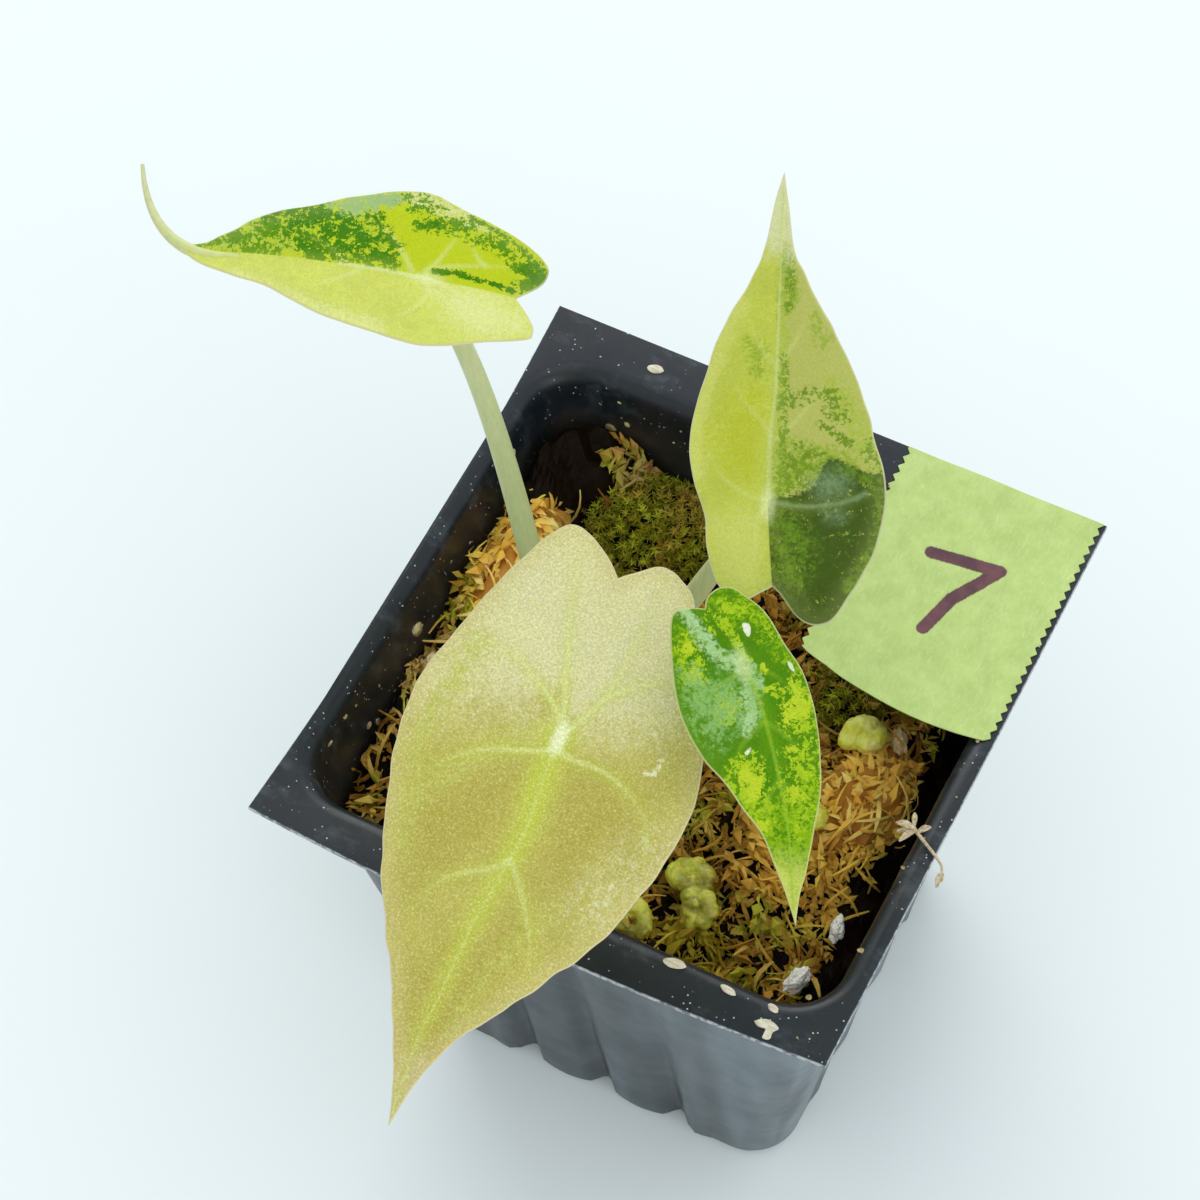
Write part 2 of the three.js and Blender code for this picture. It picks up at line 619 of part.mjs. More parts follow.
function makeFilling() {
  const strands = surfaceStrands(STRAND_COUNT, 2, (random) => {
    const x = random(-29, 29);
    const y = random(-29, 28);
    return new THREE.Vector3(x, y, mossHeight(x, y) - 0.3);
  });
  let bed = wasm.Manifold.union([mossBlock(), ...strands]).intersect(fillSpace());
  const cut = (solid) => { bed = bed.subtract(solid); };
  for (const leaf of Object.values(LEAVES)) cut(solidOf(stalkTube(leaf, SEAT_GAP)));
  cut(cormSolid(SEAT_GAP));

  const hollow = (patch, turn, top) => {
    return solidOf(ellipsoid(patch.at, patch.radii.map((r) => r + SEAT_GAP), turn, top));
  };
  const stalks = wasm.Manifold.union(Object.values(LEAVES)
    .map((leaf) => solidOf(stalkTube(leaf, SEAT_GAP))));
  const heads = Object.entries(HEADS).map(([name, head]) => [name, headSolid(head, 0),
    headSolid(head, SEAT_GAP)]);
  const grains = Object.entries(GRAINS).map(([name, grain]) => [name, grainSolid(grain, 0),
    grainSolid(grain, SEAT_GAP), grain.color]);
  const room = fillSpace();
  for (const [name, clump] of Object.entries(CLUMPS)) {
    let solid = clumpSolid(clump).intersect(room).subtract(stalks);
    for (const [, , wide] of [...heads, ...grains]) solid = solid.subtract(wide);
    cut(hollow(clump, clump.turn, CLUMP_TOP));
    addMesh(name, geometryOf(largestBody(solid)), clump.color, 0.9);
  }
  for (const [name, cushion] of Object.entries(CUSHIONS)) {
    let solid = cushionSolid(cushion).intersect(room).subtract(stalks);
    for (const [, , wide] of [...heads, ...grains]) solid = solid.subtract(wide);
    cut(hollow(cushion, 0, CUSHION_TOP));
    addMesh(name, geometryOf(largestBody(solid)), cushion.color, 0.85);
  }
  for (const [name, solid, wide] of heads) {
    cut(wide);
    addMesh(name, geometryOf(largestBody(solid)), 0x9aa93a, 0.5);
  }
  for (const [name, solid, wide, color] of grains) {
    cut(wide);
    addMesh(name, geometryOf(largestBody(solid)), color, 0.8);
  }
  addMesh('moss_bed', geometryOf(largestBody(bed)), 0x6b4a22, 0.95);
}

// The paper tape stuck across the back right corner of the rim, with pinked ends
const TAPE = { left: 10.6, right: 34.4, front: 5.2, back: 37.1, thickness: 0.4,
  tooth: 0.5, pitch: 1.25, leftEnd: 2.6, rightEnd: 0.4, sag: 1.6 };

function makeTape() {
  const shape = new THREE.Shape();
  const leftFront = TAPE.front + TAPE.leftEnd;
  const rightFront = TAPE.front + TAPE.rightEnd;
  shape.moveTo(TAPE.left, leftFront);
  shape.quadraticCurveTo((TAPE.left + TAPE.right) / 2, TAPE.front - TAPE.sag,
    TAPE.right - TAPE.rightEnd, rightFront);
  const teeth = Math.round((TAPE.back - rightFront) / TAPE.pitch);
  for (let i = 1; i <= teeth; i++) {
    const y = rightFront + (TAPE.back - rightFront) * i / teeth;
    shape.lineTo(TAPE.right + TAPE.tooth / 2, y - TAPE.pitch / 2);
    shape.lineTo(TAPE.right - TAPE.tooth / 2, y);
  }
  for (let i = teeth - 1; i >= 1; i--) {
    const y = leftFront + (TAPE.back - leftFront) * i / teeth;
    shape.lineTo(TAPE.left - TAPE.tooth / 2, y + TAPE.pitch / 2);
    shape.lineTo(TAPE.left + TAPE.tooth / 2, y);
  }
  const geometry = new THREE.ExtrudeGeometry(shape, {
    depth: TAPE.thickness, bevelEnabled: false, curveSegments: 8,
  });
  geometry.translate(0, 0, POT_HEIGHT);
  addMesh('label_tape', geometry, 0xb6cf84, 0.85);
}

// Pale flakes of dried scale lying on the rim
const FLAKES = {
  flake_front_a: { at: [15.5, -33.6], size: [1.3, 0.6], turn: 8 },
  flake_front_b: { at: [22, -33.9], size: [1, 0.4], turn: -12 },
  flake_front_c: { at: [27.2, -33.7], size: [0.7, 0.4], turn: -20 },
  flake_back: { at: [-20.7, 34], size: [1, 0.6], turn: 10 },
};

function chip(outline, turn, at) {
  const shape = new THREE.Shape(outline.map((p) => new THREE.Vector2(...p)));
  const geometry = new THREE.ExtrudeGeometry(shape, { depth: 0.35, bevelEnabled: false });
  geometry.rotateZ(radians(turn));
  geometry.translate(at[0], at[1], POT_HEIGHT);
  return geometry;
}

function makeFlakes() {
  for (const [name, flake] of Object.entries(FLAKES)) {
    const [a, b] = flake.size;
    const outline = [[a, 0], [a * 0.6, b * 0.8], [-a * 0.2, b], [-a * 0.9, b * 0.5], [-a, -b * 0.3],
      [-a * 0.3, -b], [a * 0.6, -b * 0.7]];
    addMesh(name, chip(outline, flake.turn, flake.at), 0xe6e0cc, 0.8);
  }
  const hook = [[-1.5, 0.3], [-0.3, 1.1], [0.6, 1], [1.2, 0.6], [0.8, 0], [0.9, -0.9],
    [0.1, -1.1], [0.1, -0.1], [-0.9, -0.1]];
  addMesh('flake_hooked', chip(hook, 0, [27.5, -36.2]), 0xeae4d0, 0.8);
}

// A dry moss wisp that lies over the right rim
function makeWisp() {
  const z = POT_HEIGHT + SEAT_GAP + 0.35;
  const path = [[31.3, -7.8, z + 0.4], [32.2, -8.3, z + 0.3], [33.6, -9.1, z + 0.1],
    [35.1, -9.9, z + 0.1], [36.2, -10.6, z - 0.1], [36.7, -11.5, z - 0.6]];
  const curve = new THREE.CatmullRomCurve3(path.map((p) => new THREE.Vector3(...p)));
  const pieces = [solidOf(taperedTube(curve, taper(0.42, 0.34), 4, 7))];
  const leafAt = (start, end, width) => {
    const line = new THREE.LineCurve3(new THREE.Vector3(...start), new THREE.Vector3(...end));
    const widthAt = (t) => width * (0.45 + 0.8 * Math.sin(Math.PI * t));
    pieces.push(solidOf(taperedTube(line, widthAt, 4, 3)));
  };
  leafAt([31.8, -8.1, z + 0.4], [29.7, -8.3, z + 0.6], 0.7);
  leafAt([31.7, -8, z + 0.4], [31.1, -6.4, z + 0.9], 0.55);
  leafAt([31.9, -8.2, z + 0.4], [30.9, -10.2, z + 0.5], 0.6);
  leafAt([36.6, -11.3, z - 0.4], [36.6, -12.9, z - 1.2], 0.6);
  addMesh('dry_wisp', geometryOf(largestBody(wasm.Manifold.union(pieces))), 0xa8906a, 0.9);
}

makePot();
makeFilling();
addMesh('corm_and_roots', geometryOf(largestBody(cormSolid(0))), 0xb08a5a, 0.8);
for (const [name, leaf] of Object.entries(LEAVES)) makeLeaf(name, leaf);
makeTape();
makeFlakes();
makeWisp();

export default part;
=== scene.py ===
# %% [markdown]
# # A potted kris plant, dressed step by step
# The CAD model of this plant is exact about where everything is, but plain to look at. This
# lesson loads it as a fixed frame and builds the finished pieces round it: four leaves with
# their veins and their two-coloured tissue, a formed plastic pot, damp moss, paper tape and the
# small crumbs that lie about on any real pot.

# %% Load the frame
import json
import math
import random

import bmesh
import bpy
import numpy as np
from mathutils import Matrix, Vector, noise
from mathutils.kdtree import KDTree

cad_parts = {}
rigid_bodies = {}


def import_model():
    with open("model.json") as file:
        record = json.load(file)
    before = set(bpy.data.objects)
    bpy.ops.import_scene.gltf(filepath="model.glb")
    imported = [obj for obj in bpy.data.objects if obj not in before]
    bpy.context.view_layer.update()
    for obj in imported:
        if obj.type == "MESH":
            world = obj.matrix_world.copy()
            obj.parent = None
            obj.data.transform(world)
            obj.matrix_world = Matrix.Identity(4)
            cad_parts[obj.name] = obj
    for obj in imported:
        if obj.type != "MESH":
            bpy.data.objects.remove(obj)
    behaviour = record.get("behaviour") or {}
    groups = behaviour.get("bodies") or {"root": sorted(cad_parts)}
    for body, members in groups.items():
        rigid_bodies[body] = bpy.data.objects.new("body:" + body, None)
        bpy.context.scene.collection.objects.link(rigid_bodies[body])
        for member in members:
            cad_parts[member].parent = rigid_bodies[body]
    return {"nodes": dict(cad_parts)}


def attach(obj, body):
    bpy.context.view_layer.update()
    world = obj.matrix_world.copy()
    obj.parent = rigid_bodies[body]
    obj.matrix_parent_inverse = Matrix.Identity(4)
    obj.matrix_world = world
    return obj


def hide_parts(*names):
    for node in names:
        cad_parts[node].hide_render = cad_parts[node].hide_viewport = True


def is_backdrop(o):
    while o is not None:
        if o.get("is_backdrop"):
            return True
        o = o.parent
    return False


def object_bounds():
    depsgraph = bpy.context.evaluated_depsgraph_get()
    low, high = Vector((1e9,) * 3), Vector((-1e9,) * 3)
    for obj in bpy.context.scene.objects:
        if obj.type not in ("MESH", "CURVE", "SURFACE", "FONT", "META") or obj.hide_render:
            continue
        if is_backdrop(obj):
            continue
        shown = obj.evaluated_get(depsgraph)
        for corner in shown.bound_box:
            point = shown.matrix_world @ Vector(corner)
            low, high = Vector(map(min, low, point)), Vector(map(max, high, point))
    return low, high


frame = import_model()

cad_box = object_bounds()
print("CAD nodes:", len(frame["nodes"]), "box:", [[round(v, 4) for v in c] for c in cad_box])

# %% [markdown]
# Sizes below are in millimetres, as a gardener would measure them, and are turned into metres
# only when a mesh is made. Doing this in one place means no piece can be left without a body to
# ride on.

# %% One way to make a piece
MM = 0.001


def outward(points, faces):
    """Flips all faces if the closed shape they form has a negative volume."""
    triangles = np.array([(f[0], b, c) for f in faces for b, c in zip(f[1:-1], f[2:])])
    a, b, c = np.asarray(points, float)[triangles].transpose(1, 0, 2)
    volume = np.einsum("ij,ij->", a, np.cross(b, c))
    return faces if volume > 0 else [tuple(face)[::-1] for face in faces]


def crease(mesh, degrees):
    """Shades smooth, but keeps edges sharper than the angle crisp."""
    work = bmesh.new()
    work.from_mesh(mesh)
    for face in work.faces:
        face.smooth = True
    for edge in work.edges:
        edge.smooth = len(edge.link_faces) == 2 and edge.calc_face_angle(0) < math.radians(degrees)
    work.to_mesh(mesh)
    work.free()


def into_scene(name, data):
    piece = bpy.data.objects.new(name, data)
    bpy.context.scene.collection.objects.link(piece)
    return piece


def plain_object(name, points, faces, values=None, edges=()):
    """An object from points in mm, with named numbers or vectors stored on its points."""
    points = np.asarray(points, float)
    mesh = bpy.data.meshes.new(name)
    mesh.from_pydata((points * MM).tolist(), list(edges), [list(map(int, f)) for f in faces])
    for key, data in (values or {}).items():
        data = np.asarray(data, float)
        kind = "FLOAT_VECTOR" if data.ndim == 2 else "FLOAT"
        layer = mesh.attributes.new(key, kind, "POINT")
        layer.data.foreach_set("vector" if data.ndim == 2 else "value", data.ravel())
    return into_scene(name, mesh)


def dress(piece, material, slot, *nodes):
    piece.data.materials.clear()
    piece.data.materials.append(material)
    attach(piece, "root")
    if nodes:
        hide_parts(*nodes)
    piece.data.calc_loop_triangles()
    print(f"{piece.name}: {len(piece.data.loop_triangles)} triangles")
    return piece


# %% [markdown]
# Rings and grids are the two skeletons used again and again here. `skin` joins rings of equal
# length into a closed shell, and `slab` gives a grid of points a thickness and closes its sides,
# which suits paper and dry leaflets. Grains, mounds and crumbs start from `ball`.

# %% Shells from rings, slabs from grids
def skin(rings, start, end):
    """Rings of points joined into a closed shell, with a centre point at each end."""
    count = len(rings[0])
    points = np.vstack([np.asarray(ring) for ring in rings] + [[start], [end]])
    faces = []
    for r in range(len(rings) - 1):
        for i in range(count):
            j = (i + 1) % count
            faces.append((r * count + i, r * count + j, (r + 1) * count + j, (r + 1) * count + i))
    first, last = len(points) - 2, len(points) - 1
    low = (len(rings) - 1) * count
    for i in range(count):
        j = (i + 1) % count
        faces.append((first, j, i))
        faces.append((last, low + i, low + j))
    return points, outward(points, faces)


def slab(grid, thickness):
    """A grid of points (rows, columns, 3) made into a closed sheet of that thickness."""
    grid = np.asarray(grid, float)
    rows, cols = grid.shape[:2]
    normal = np.cross(np.gradient(grid, axis=1), np.gradient(grid, axis=0))
    normal /= np.linalg.norm(normal, axis=2, keepdims=True) + 1e-9
    half = np.asarray(thickness) / 2
    half = half[..., None] if half.ndim else half
    points = np.vstack([(grid + normal * half).reshape(-1, 3), (grid - normal * half).reshape(-1, 3)])
    under = rows * cols
    faces = []
    for r in range(rows - 1):
        for c in range(cols - 1):
            a, b = r * cols + c, r * cols + c + 1
            d, e = a + cols, b + cols
            faces += [(a, b, e, d), (under + a, under + d, under + e, under + b)]
    rim = ([c for c in range(cols)] + [r * cols + cols - 1 for r in range(1, rows)]
           + [(rows - 1) * cols + c for c in range(cols - 2, -1, -1)]
           + [r * cols for r in range(rows - 2, 0, -1)])
    for a, b in zip(rim, rim[1:] + rim[:1]):
        faces.append((b, a, under + a, under + b))
    return points, outward(points, faces)


def ball(detail):
    """Points and faces of a round ball of radius 1."""
    work = bmesh.new()
    bmesh.ops.create_icosphere(work, subdivisions=detail, radius=1)
    points = np.array([v.co for v in work.verts])
    faces = [[v.index for v in f.verts] for f in work.faces]
    work.free()
    return points, faces


def turned(points, degrees):
    """Points turned about the vertical."""
    c, s = math.cos(math.radians(degrees)), math.sin(math.radians(degrees))
    return points @ np.array([[c, s, 0], [-s, c, 0], [0, 0, 1]])


# %% [markdown]
# Materials are built from nodes in code. This small desk of tools keeps each recipe short and
# readable: `noise` for cloudy variation, `cells` for grains, `steps` to stretch or threshold a
# value, `blend` to mix colours. Patterns are laid out in millimetres, either from Object
# coordinates or from an attribute stored on the piece, so a grain has its real size.

# %% A desk of material tools
def socket(sockets, name):
    if isinstance(name, int):
        return sockets[name]
    return next(s for s in sockets if s.name == name and s.enabled)


def add_node(tree, kind, inputs, **settings):
    """A new node; each input is set to a value or linked to another node's output."""
    node = tree.nodes.new(kind)
    for key, value in settings.items():
        setattr(node, key, value)
    for name, value in inputs.items():
        target = socket(node.inputs, name)
        if hasattr(value, "is_output"):
            tree.links.new(value, target)
        else:
            target.default_value = value
    return node


class Finish:
    def __init__(self, name, roughness=0.5):
        self.material = bpy.data.materials.new(name)
        self.material.use_nodes = True
        self.tree = self.material.node_tree
        self.links = self.tree.links
        self.shader = self.tree.nodes["Principled BSDF"]
        self.shader.inputs["Roughness"].default_value = roughness

    def add(self, kind, inputs, **settings):
        return add_node(self.tree, "ShaderNode" + kind, inputs, **settings)

    def place(self, stretch=(1, 1, 1)):
        """Object coordinates in millimetres."""
        where = self.add("TexCoord", {}).outputs["Object"]
        scale = tuple(1000 * s for s in stretch)
        return self.add("Mapping", {"Vector": where, "Scale": scale}).outputs[0]

    def stored(self, name, output="Fac"):
        return self.add("Attribute", {}, attribute_name=name).outputs[output]

    def noise(self, where, scale, detail=3.0, roughness=0.55, distortion=0.0):
        return self.add("TexNoise", {"Vector": where, "Scale": scale, "Detail": detail,
                        "Roughness": roughness, "Distortion": distortion}).outputs["Fac"]

    def cells(self, where, scale, feature="F1", output="Distance"):
        return self.add("TexVoronoi", {"Vector": where, "Scale": scale},
                        feature=feature).outputs[output]

    def steps(self, value, low, high, out_low=0.0, out_high=1.0, soft=True):
        return self.add("MapRange", {"Value": value, "From Min": low, "From Max": high,
                        "To Min": out_low, "To Max": out_high},
                        interpolation_type="SMOOTHSTEP" if soft else "LINEAR").outputs[0]

    def math(self, operation, a, b=0.0, clamp=False):
        return self.add("Math", {0: a, 1: b}, operation=operation,
                        use_clamp=clamp).outputs[0]

    def times(self, a, b, clamp=False):
        return self.math("MULTIPLY", a, b, clamp)

    def plus(self, a, b):
        return self.math("ADD", a, b)

    def blend(self, amount, low, high, mode="MIX"):
        low, high = ((*c, 1) if isinstance(c, tuple) else c for c in (low, high))
        return self.add("Mix", {0: amount, 6: low, 7: high}, data_type="RGBA",
                        blend_type=mode).outputs[2]

    def colour(self, value):
        self.links.new(value, self.shader.inputs["Base Color"])

    def rough(self, value):
        self.links.new(value, self.shader.inputs["Roughness"])

    def relief(self, height, depth, strength=1.0):
        """Bump whose full height is the depth in millimetres."""
        bump = self.add("Bump", {"Height": height, "Distance": depth * MM,
                                           "Strength": strength})
        self.links.new(bump.outputs[0], self.shader.inputs["Normal"])

    def fixed(self, **values):
        for name, value in values.items():
            self.shader.inputs[name.replace("_", " ")].default_value = value


print("helpers ready")

# %% [markdown]
# ## Camera, floor and light
# The plant was looked down on from the right of its front edge. A long lens keeps the pot's sides
# nearly parallel. The camera's place was worked out from the four corners of the rim, whose size
# is known, so the frame on screen and the frame in millimetres agree.

# %% The camera
AZIMUTH, ELEVATION, ROLL = math.radians(29.829), math.radians(59.067), math.radians(-3.253)
back = Vector((math.sin(AZIMUTH) * math.cos(ELEVATION), -math.cos(AZIMUTH) * math.cos(ELEVATION),
               math.sin(ELEVATION)))
level = Vector((math.cos(AZIMUTH), math.sin(AZIMUTH), 0))
raised = back.cross(level)
right = math.cos(ROLL) * level + math.sin(ROLL) * raised
up = -math.sin(ROLL) * level + math.cos(ROLL) * raised

camera_data = bpy.data.cameras.new("camera")
camera_data.lens, camera_data.sensor_width = 120.457, 36
camera_data.clip_start, camera_data.clip_end = 0.01, 20
camera = into_scene("camera", camera_data)
camera.matrix_world = Matrix.Translation((0.103417, -0.198601, 0.455732)) @ Matrix(
    (right, up, back)).transposed().to_4x4()
bpy.context.scene.camera = camera
print("camera looks along", [round(-v, 3) for v in back])

# %% [markdown]
# A pale, very slightly blue floor and a bright, even sky give the high-key light of a white table
# near a window. One large, low lamp behind the plant models the leaves without mirroring in the
# flat flange. A weaker one overhead keeps the moss readable, and a third stands for the white
# wall at the right, which lights the pot's side. All are far larger than the plant, so every
# shadow has a soft edge.

# %% Floor and lamps
floor_finish = Finish("pale_table", 0.6)
spread = floor_finish.noise(floor_finish.place(), 0.01, 2)
floor_finish.colour(floor_finish.blend(spread, (0.80, 0.86, 0.87), (0.83, 0.89, 0.90)))
floor_finish.fixed(Specular_IOR_Level=0.2)
floor = plain_object("table", [(-1500, -1500, 0), (1500, -1500, 0), (1500, 1500, 0),
                               (-1500, 1500, 0)], [(0, 1, 2, 3)])
floor.data.materials.append(floor_finish.material)
floor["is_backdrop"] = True

world = bpy.data.worlds.new("soft_daylight")
world.use_nodes = True
world.node_tree.nodes["Background"].inputs["Color"].default_value = (0.93, 0.985, 1.0, 1)
world.node_tree.nodes["Background"].inputs["Strength"].default_value = 0.84
bpy.context.scene.world = world
bpy.context.scene.view_settings.view_transform = "Standard"


def lamp(name, place, size, watts, tint):
    data = bpy.data.lights.new(name, "AREA")
    data.size, data.energy, data.color = size, watts, tint
    holder = into_scene(name, data)
    holder.location = place
    aim = Vector((0, 0, 0.06)) - Vector(place)
    holder.rotation_euler = aim.to_track_quat("-Z", "Y").to_euler()


lamp("window", (-0.55, 0.8, 0.55), 0.9, 4.5, (1.0, 0.985, 0.96))
lamp("ceiling", (0.25, -0.15, 1.15), 0.9, 2.0, (1.0, 1.0, 1.0))
lamp("white_wall", (0.85, -0.55, 0.45), 0.9, 2.6, (1.0, 1.0, 1.0))

# %% [markdown]
# ## The pot
# A nursery pot like this is one thin sheet of plastic drawn over a mould, so its walls lean in, its
# corners are round and every change of direction is a soft curve. Three channels down each side
# stiffen it. A rounded square ring, evaluated at each height, describes all of it: the ring
# shrinks towards the base while the channels grow deeper.

# %% The pot's wall as a rule
POT_HEIGHT, SHEET = 67.5, 0.8
RIM_X, RIM_Y, RIM_BOW = 35.0, 37.25, 1.2
MOUTH_X, MOUTH_Y, MOUTH_SHIFT, MOUTH_CORNER = 32.65, 31.65, -1.05, 6.5
BASE_X, BASE_Y, BASE_CORNER = 23.0, 23.9, 5.7
CHANNEL_PITCH, CHANNEL_HALF, CHANNEL_DEPTH, SWELL = 10.0, 2.2, 1.7, 0.35
CHANNELS_END, SWELL_END = 12.6, 2.4
PER_SIDE, PER_CORNER = 61, 11


def channel(s, height):
    """How far the wall is pushed in at a place along a side."""
    depth = 1 - height / POT_HEIGHT
    away = abs(s - CHANNEL_PITCH * round(s / CHANNEL_PITCH))
    if abs(s) > CHANNELS_END:
        return SWELL * depth * max(0.0, 1 - ((abs(s) - CHANNELS_END) / SWELL_END) ** 2)
    if away < CHANNEL_HALF:
        return -CHANNEL_DEPTH * depth * math.cos(math.pi / 2 * away / CHANNEL_HALF) ** 2
    between = (away - CHANNEL_HALF) / (CHANNEL_PITCH / 2 - CHANNEL_HALF)
    return SWELL * depth * math.sin(math.pi / 2 * between)


def wall_ring(height, offset, z=None):
    """The wall's rounded square outline at a height, moved out by an offset."""
    t = max(0.0, height) / POT_HEIGHT
    half_x = BASE_X + (MOUTH_X - BASE_X) * t + offset
    half_y = BASE_Y + (MOUTH_Y - BASE_Y) * t + offset
    corner = max(1.0, BASE_CORNER + (MOUTH_CORNER - BASE_CORNER) * t + offset)
    ring = []
    for side in range(4):
        along, out = (half_y, half_x) if side % 2 else (half_x, half_y)
        points = [(s, -out - channel(s, height))
                  for s in np.linspace(corner - along, along - corner, PER_SIDE)]
        for k in range(1, PER_CORNER + 1):
            a = k * math.pi / 2 / (PER_CORNER + 1)
            points.append((along - corner + corner * math.sin(a),
                           -out + corner - corner * math.cos(a)))
        c, s = round(math.cos(side * math.pi / 2)), round(math.sin(side * math.pi / 2))
        ring += [(x * c - y * s, x * s + y * c + MOUTH_SHIFT * t, height if z is None else z)
                 for x, y in points]
    return np.array(ring)


print("points in one ring of the pot:", len(wall_ring(0, 0)))

# %% [markdown]
# The flange round the mouth was sheared off with a blade, so its outline has four sharp corners,
# a front edge that bows out and a left edge that bows in. Its ring has the same number of points
# as the wall's, which lets one skin run from the base, up the outside, over the flange and down
# the inside.

# %% The flange and the whole shell
def flange_ring(z, inset=0.0):
    ring = wall_ring(POT_HEIGHT, 0)
    per_side = len(ring) // 4
    middle = PER_SIDE + PER_CORNER // 2
    out = []
    for i, (x, y, _) in enumerate(ring):
        side, k = divmod(i, per_side)
        side = (side + (k > middle)) % 4
        edge_x = (RIM_X - inset) * np.sign(x)
        edge_y = (RIM_Y - inset) * np.sign(y)
        if k == middle:
            out.append((edge_x, edge_y, z))
        elif side == 0:
            out.append((x, edge_y - RIM_BOW * (1 - (x / RIM_X) ** 2), z))
        elif side == 3:
            out.append((edge_x + RIM_BOW * (1 - (y / RIM_Y) ** 2), y, z))
        else:
            out.append((x, edge_y, z) if side == 2 else (edge_x, y, z))
    return np.array(out)


def quarter(angles):
    """Cosines and sines that round a corner of the sheet."""
    return [(math.cos(math.radians(a)), math.sin(math.radians(a))) for a in angles]


def pot_rings():
    under = POT_HEIGHT - SHEET
    rings = [wall_ring(0, -1.5)]
    for c, s in quarter((22, 45, 68, 90)):
        rings.append(wall_ring(1.5 * (1 - c), -1.5 + 1.9 * s))
    rings += [wall_ring(h, 0.4) for h in np.linspace(5, under - 2.0, 14)]
    for c, s in quarter((25, 50, 75)):
        rings.append(wall_ring(POT_HEIGHT, 0.4 + 1.2 * (1 - c), under - 1.3 * (1 - s)))
    rings += [flange_ring(under, 0.06), flange_ring(under + 0.12), flange_ring(POT_HEIGHT - 0.1),
              flange_ring(POT_HEIGHT, 0.1)]
    rings += [wall_ring(POT_HEIGHT, 1.5, POT_HEIGHT)]
    for c, s in quarter((15, 30, 45, 60, 75, 90)):
        rings.append(wall_ring(POT_HEIGHT - 2.2 * (1 - c), 1.5 - 1.9 * s, POT_HEIGHT - 2.2 * (1 - c)))
    rings += [wall_ring(h, -0.4) for h in np.linspace(POT_HEIGHT - 5, 6, 13)]
    rings += [wall_ring(2.3, -0.4), wall_ring(1.1, -1.2, 1.1), wall_ring(0, -2.3, SHEET)]
    return rings


rings = pot_rings()
shell_points, shell_faces = skin(rings, (0, 0, 0), (0, 0, SHEET))
ring_size = len(rings[0])
cut = np.zeros(len(shell_points))
sheared = next(i for i, ring in enumerate(rings) if abs(ring[:, 0]).max() > RIM_X - 0.01)
cut[sheared * ring_size:(sheared + 2) * ring_size] = 1
outside = np.zeros(len(shell_points))
outside[:(sheared - 1) * ring_size] = 1
x, y, z = shell_points.T
# The fold number marks painted shade: a band on each swell between the channels, fading towards the rim.
phase = np.where(np.abs(y) > np.abs(x), x, y) / CHANNEL_PITCH % 1
fold = np.exp(-((phase - 0.6) / 0.2) ** 2) * (1 - z / POT_HEIGHT) ** 0.7 * outside
pot = plain_object("pot_shell", shell_points, shell_faces,
                   {"cut_edge": cut, "outside": outside, "fold": fold})
print("rings in the shell:", len(rings))

# %% [markdown]
# Four drain holes go through the base. A Boolean modifier cuts them from one joined cutter, and
# its result replaces the mesh, so that no live modifier is left on the piece.

# %% Drain holes
def freeze(piece):
    """Replaces a piece's mesh by what its modifiers make of it, and removes them."""
    depsgraph = bpy.context.evaluated_depsgraph_get()
    result = bpy.data.meshes.new_from_object(piece.evaluated_get(depsgraph),
                                             preserve_all_data_layers=True, depsgraph=depsgraph)
    piece.modifiers.clear()
    piece.data = result
    return result


cutter_mesh = bmesh.new()
for x, y in ((13, 13), (13, -13), (-13, 13), (-13, -13)):
    bmesh.ops.create_cone(cutter_mesh, cap_ends=True, segments=36, radius1=2.6 * MM,
                          radius2=2.6 * MM, depth=6 * MM,
                          matrix=Matrix.Translation((x * MM, y * MM, 0)))
cutter_data = bpy.data.meshes.new("drain_cutter")
cutter_mesh.to_mesh(cutter_data)
cutter_mesh.free()
cutter = into_scene("drain_cutter", cutter_data)
drill = pot.modifiers.new("drain holes", "BOOLEAN")
drill.operation, drill.object, drill.solver = "DIFFERENCE", cutter, "EXACT"
freeze(pot)
bpy.data.objects.remove(cutter)
crease(pot.data, 40)
print("faces after drilling:", len(pot.data.polygons))

# %% [markdown]
# The plastic is black with a cold, blue-grey shine. What makes it read as a used pot is small: a
# slightly uneven gloss, pale specks of dust on the rim, a brown tint on the inner walls that is
# partly a film and partly a painted reflection of the moss, pale streaks of painted reflection on
# the outer walls that grow towards the right, painted shade in the folds between the channels,
# and the flange's sheared edge, where torn plastic is lighter.

# %% Black plastic
black = Finish("black_formed_plastic", 0.34)
place = black.place()
cloud = black.noise(place, 0.07, 4)
parts = black.add("SeparateXYZ", {0: place}).outputs
outside = black.stored("outside")
dust = black.steps(black.cells(place, 1.5), 0.17, 0.09)
dust = black.times(dust, black.steps(black.noise(place, 0.5, 2), 0.50, 0.60))
dust = black.times(dust, black.steps(outside, 0.1, 0.5, 1, 0.1))
haze = black.times(black.steps(black.noise(black.place((1, 1.6, 1)), 0.16, 5, 0.7),
                                          0.52, 0.72), 0.16)
base = black.blend(cloud, (0.003, 0.006, 0.011), (0.008, 0.014, 0.022))
base = black.blend(haze, base, (0.22, 0.25, 0.28))
# Inner walls below the lip tinted brown: partly a film, partly a painted reflection of the moss.
film_and_moss_reflection = black.times(black.steps(outside, 0.1, 0.5, 1, 0), black.steps(parts["Z"], 64, 58))
film_and_moss_reflection = black.times(film_and_moss_reflection, black.steps(black.noise(place, 0.12, 3), 0.35, 0.65, 0.3, 1))
base = black.blend(film_and_moss_reflection, base, (0.048, 0.040, 0.030))
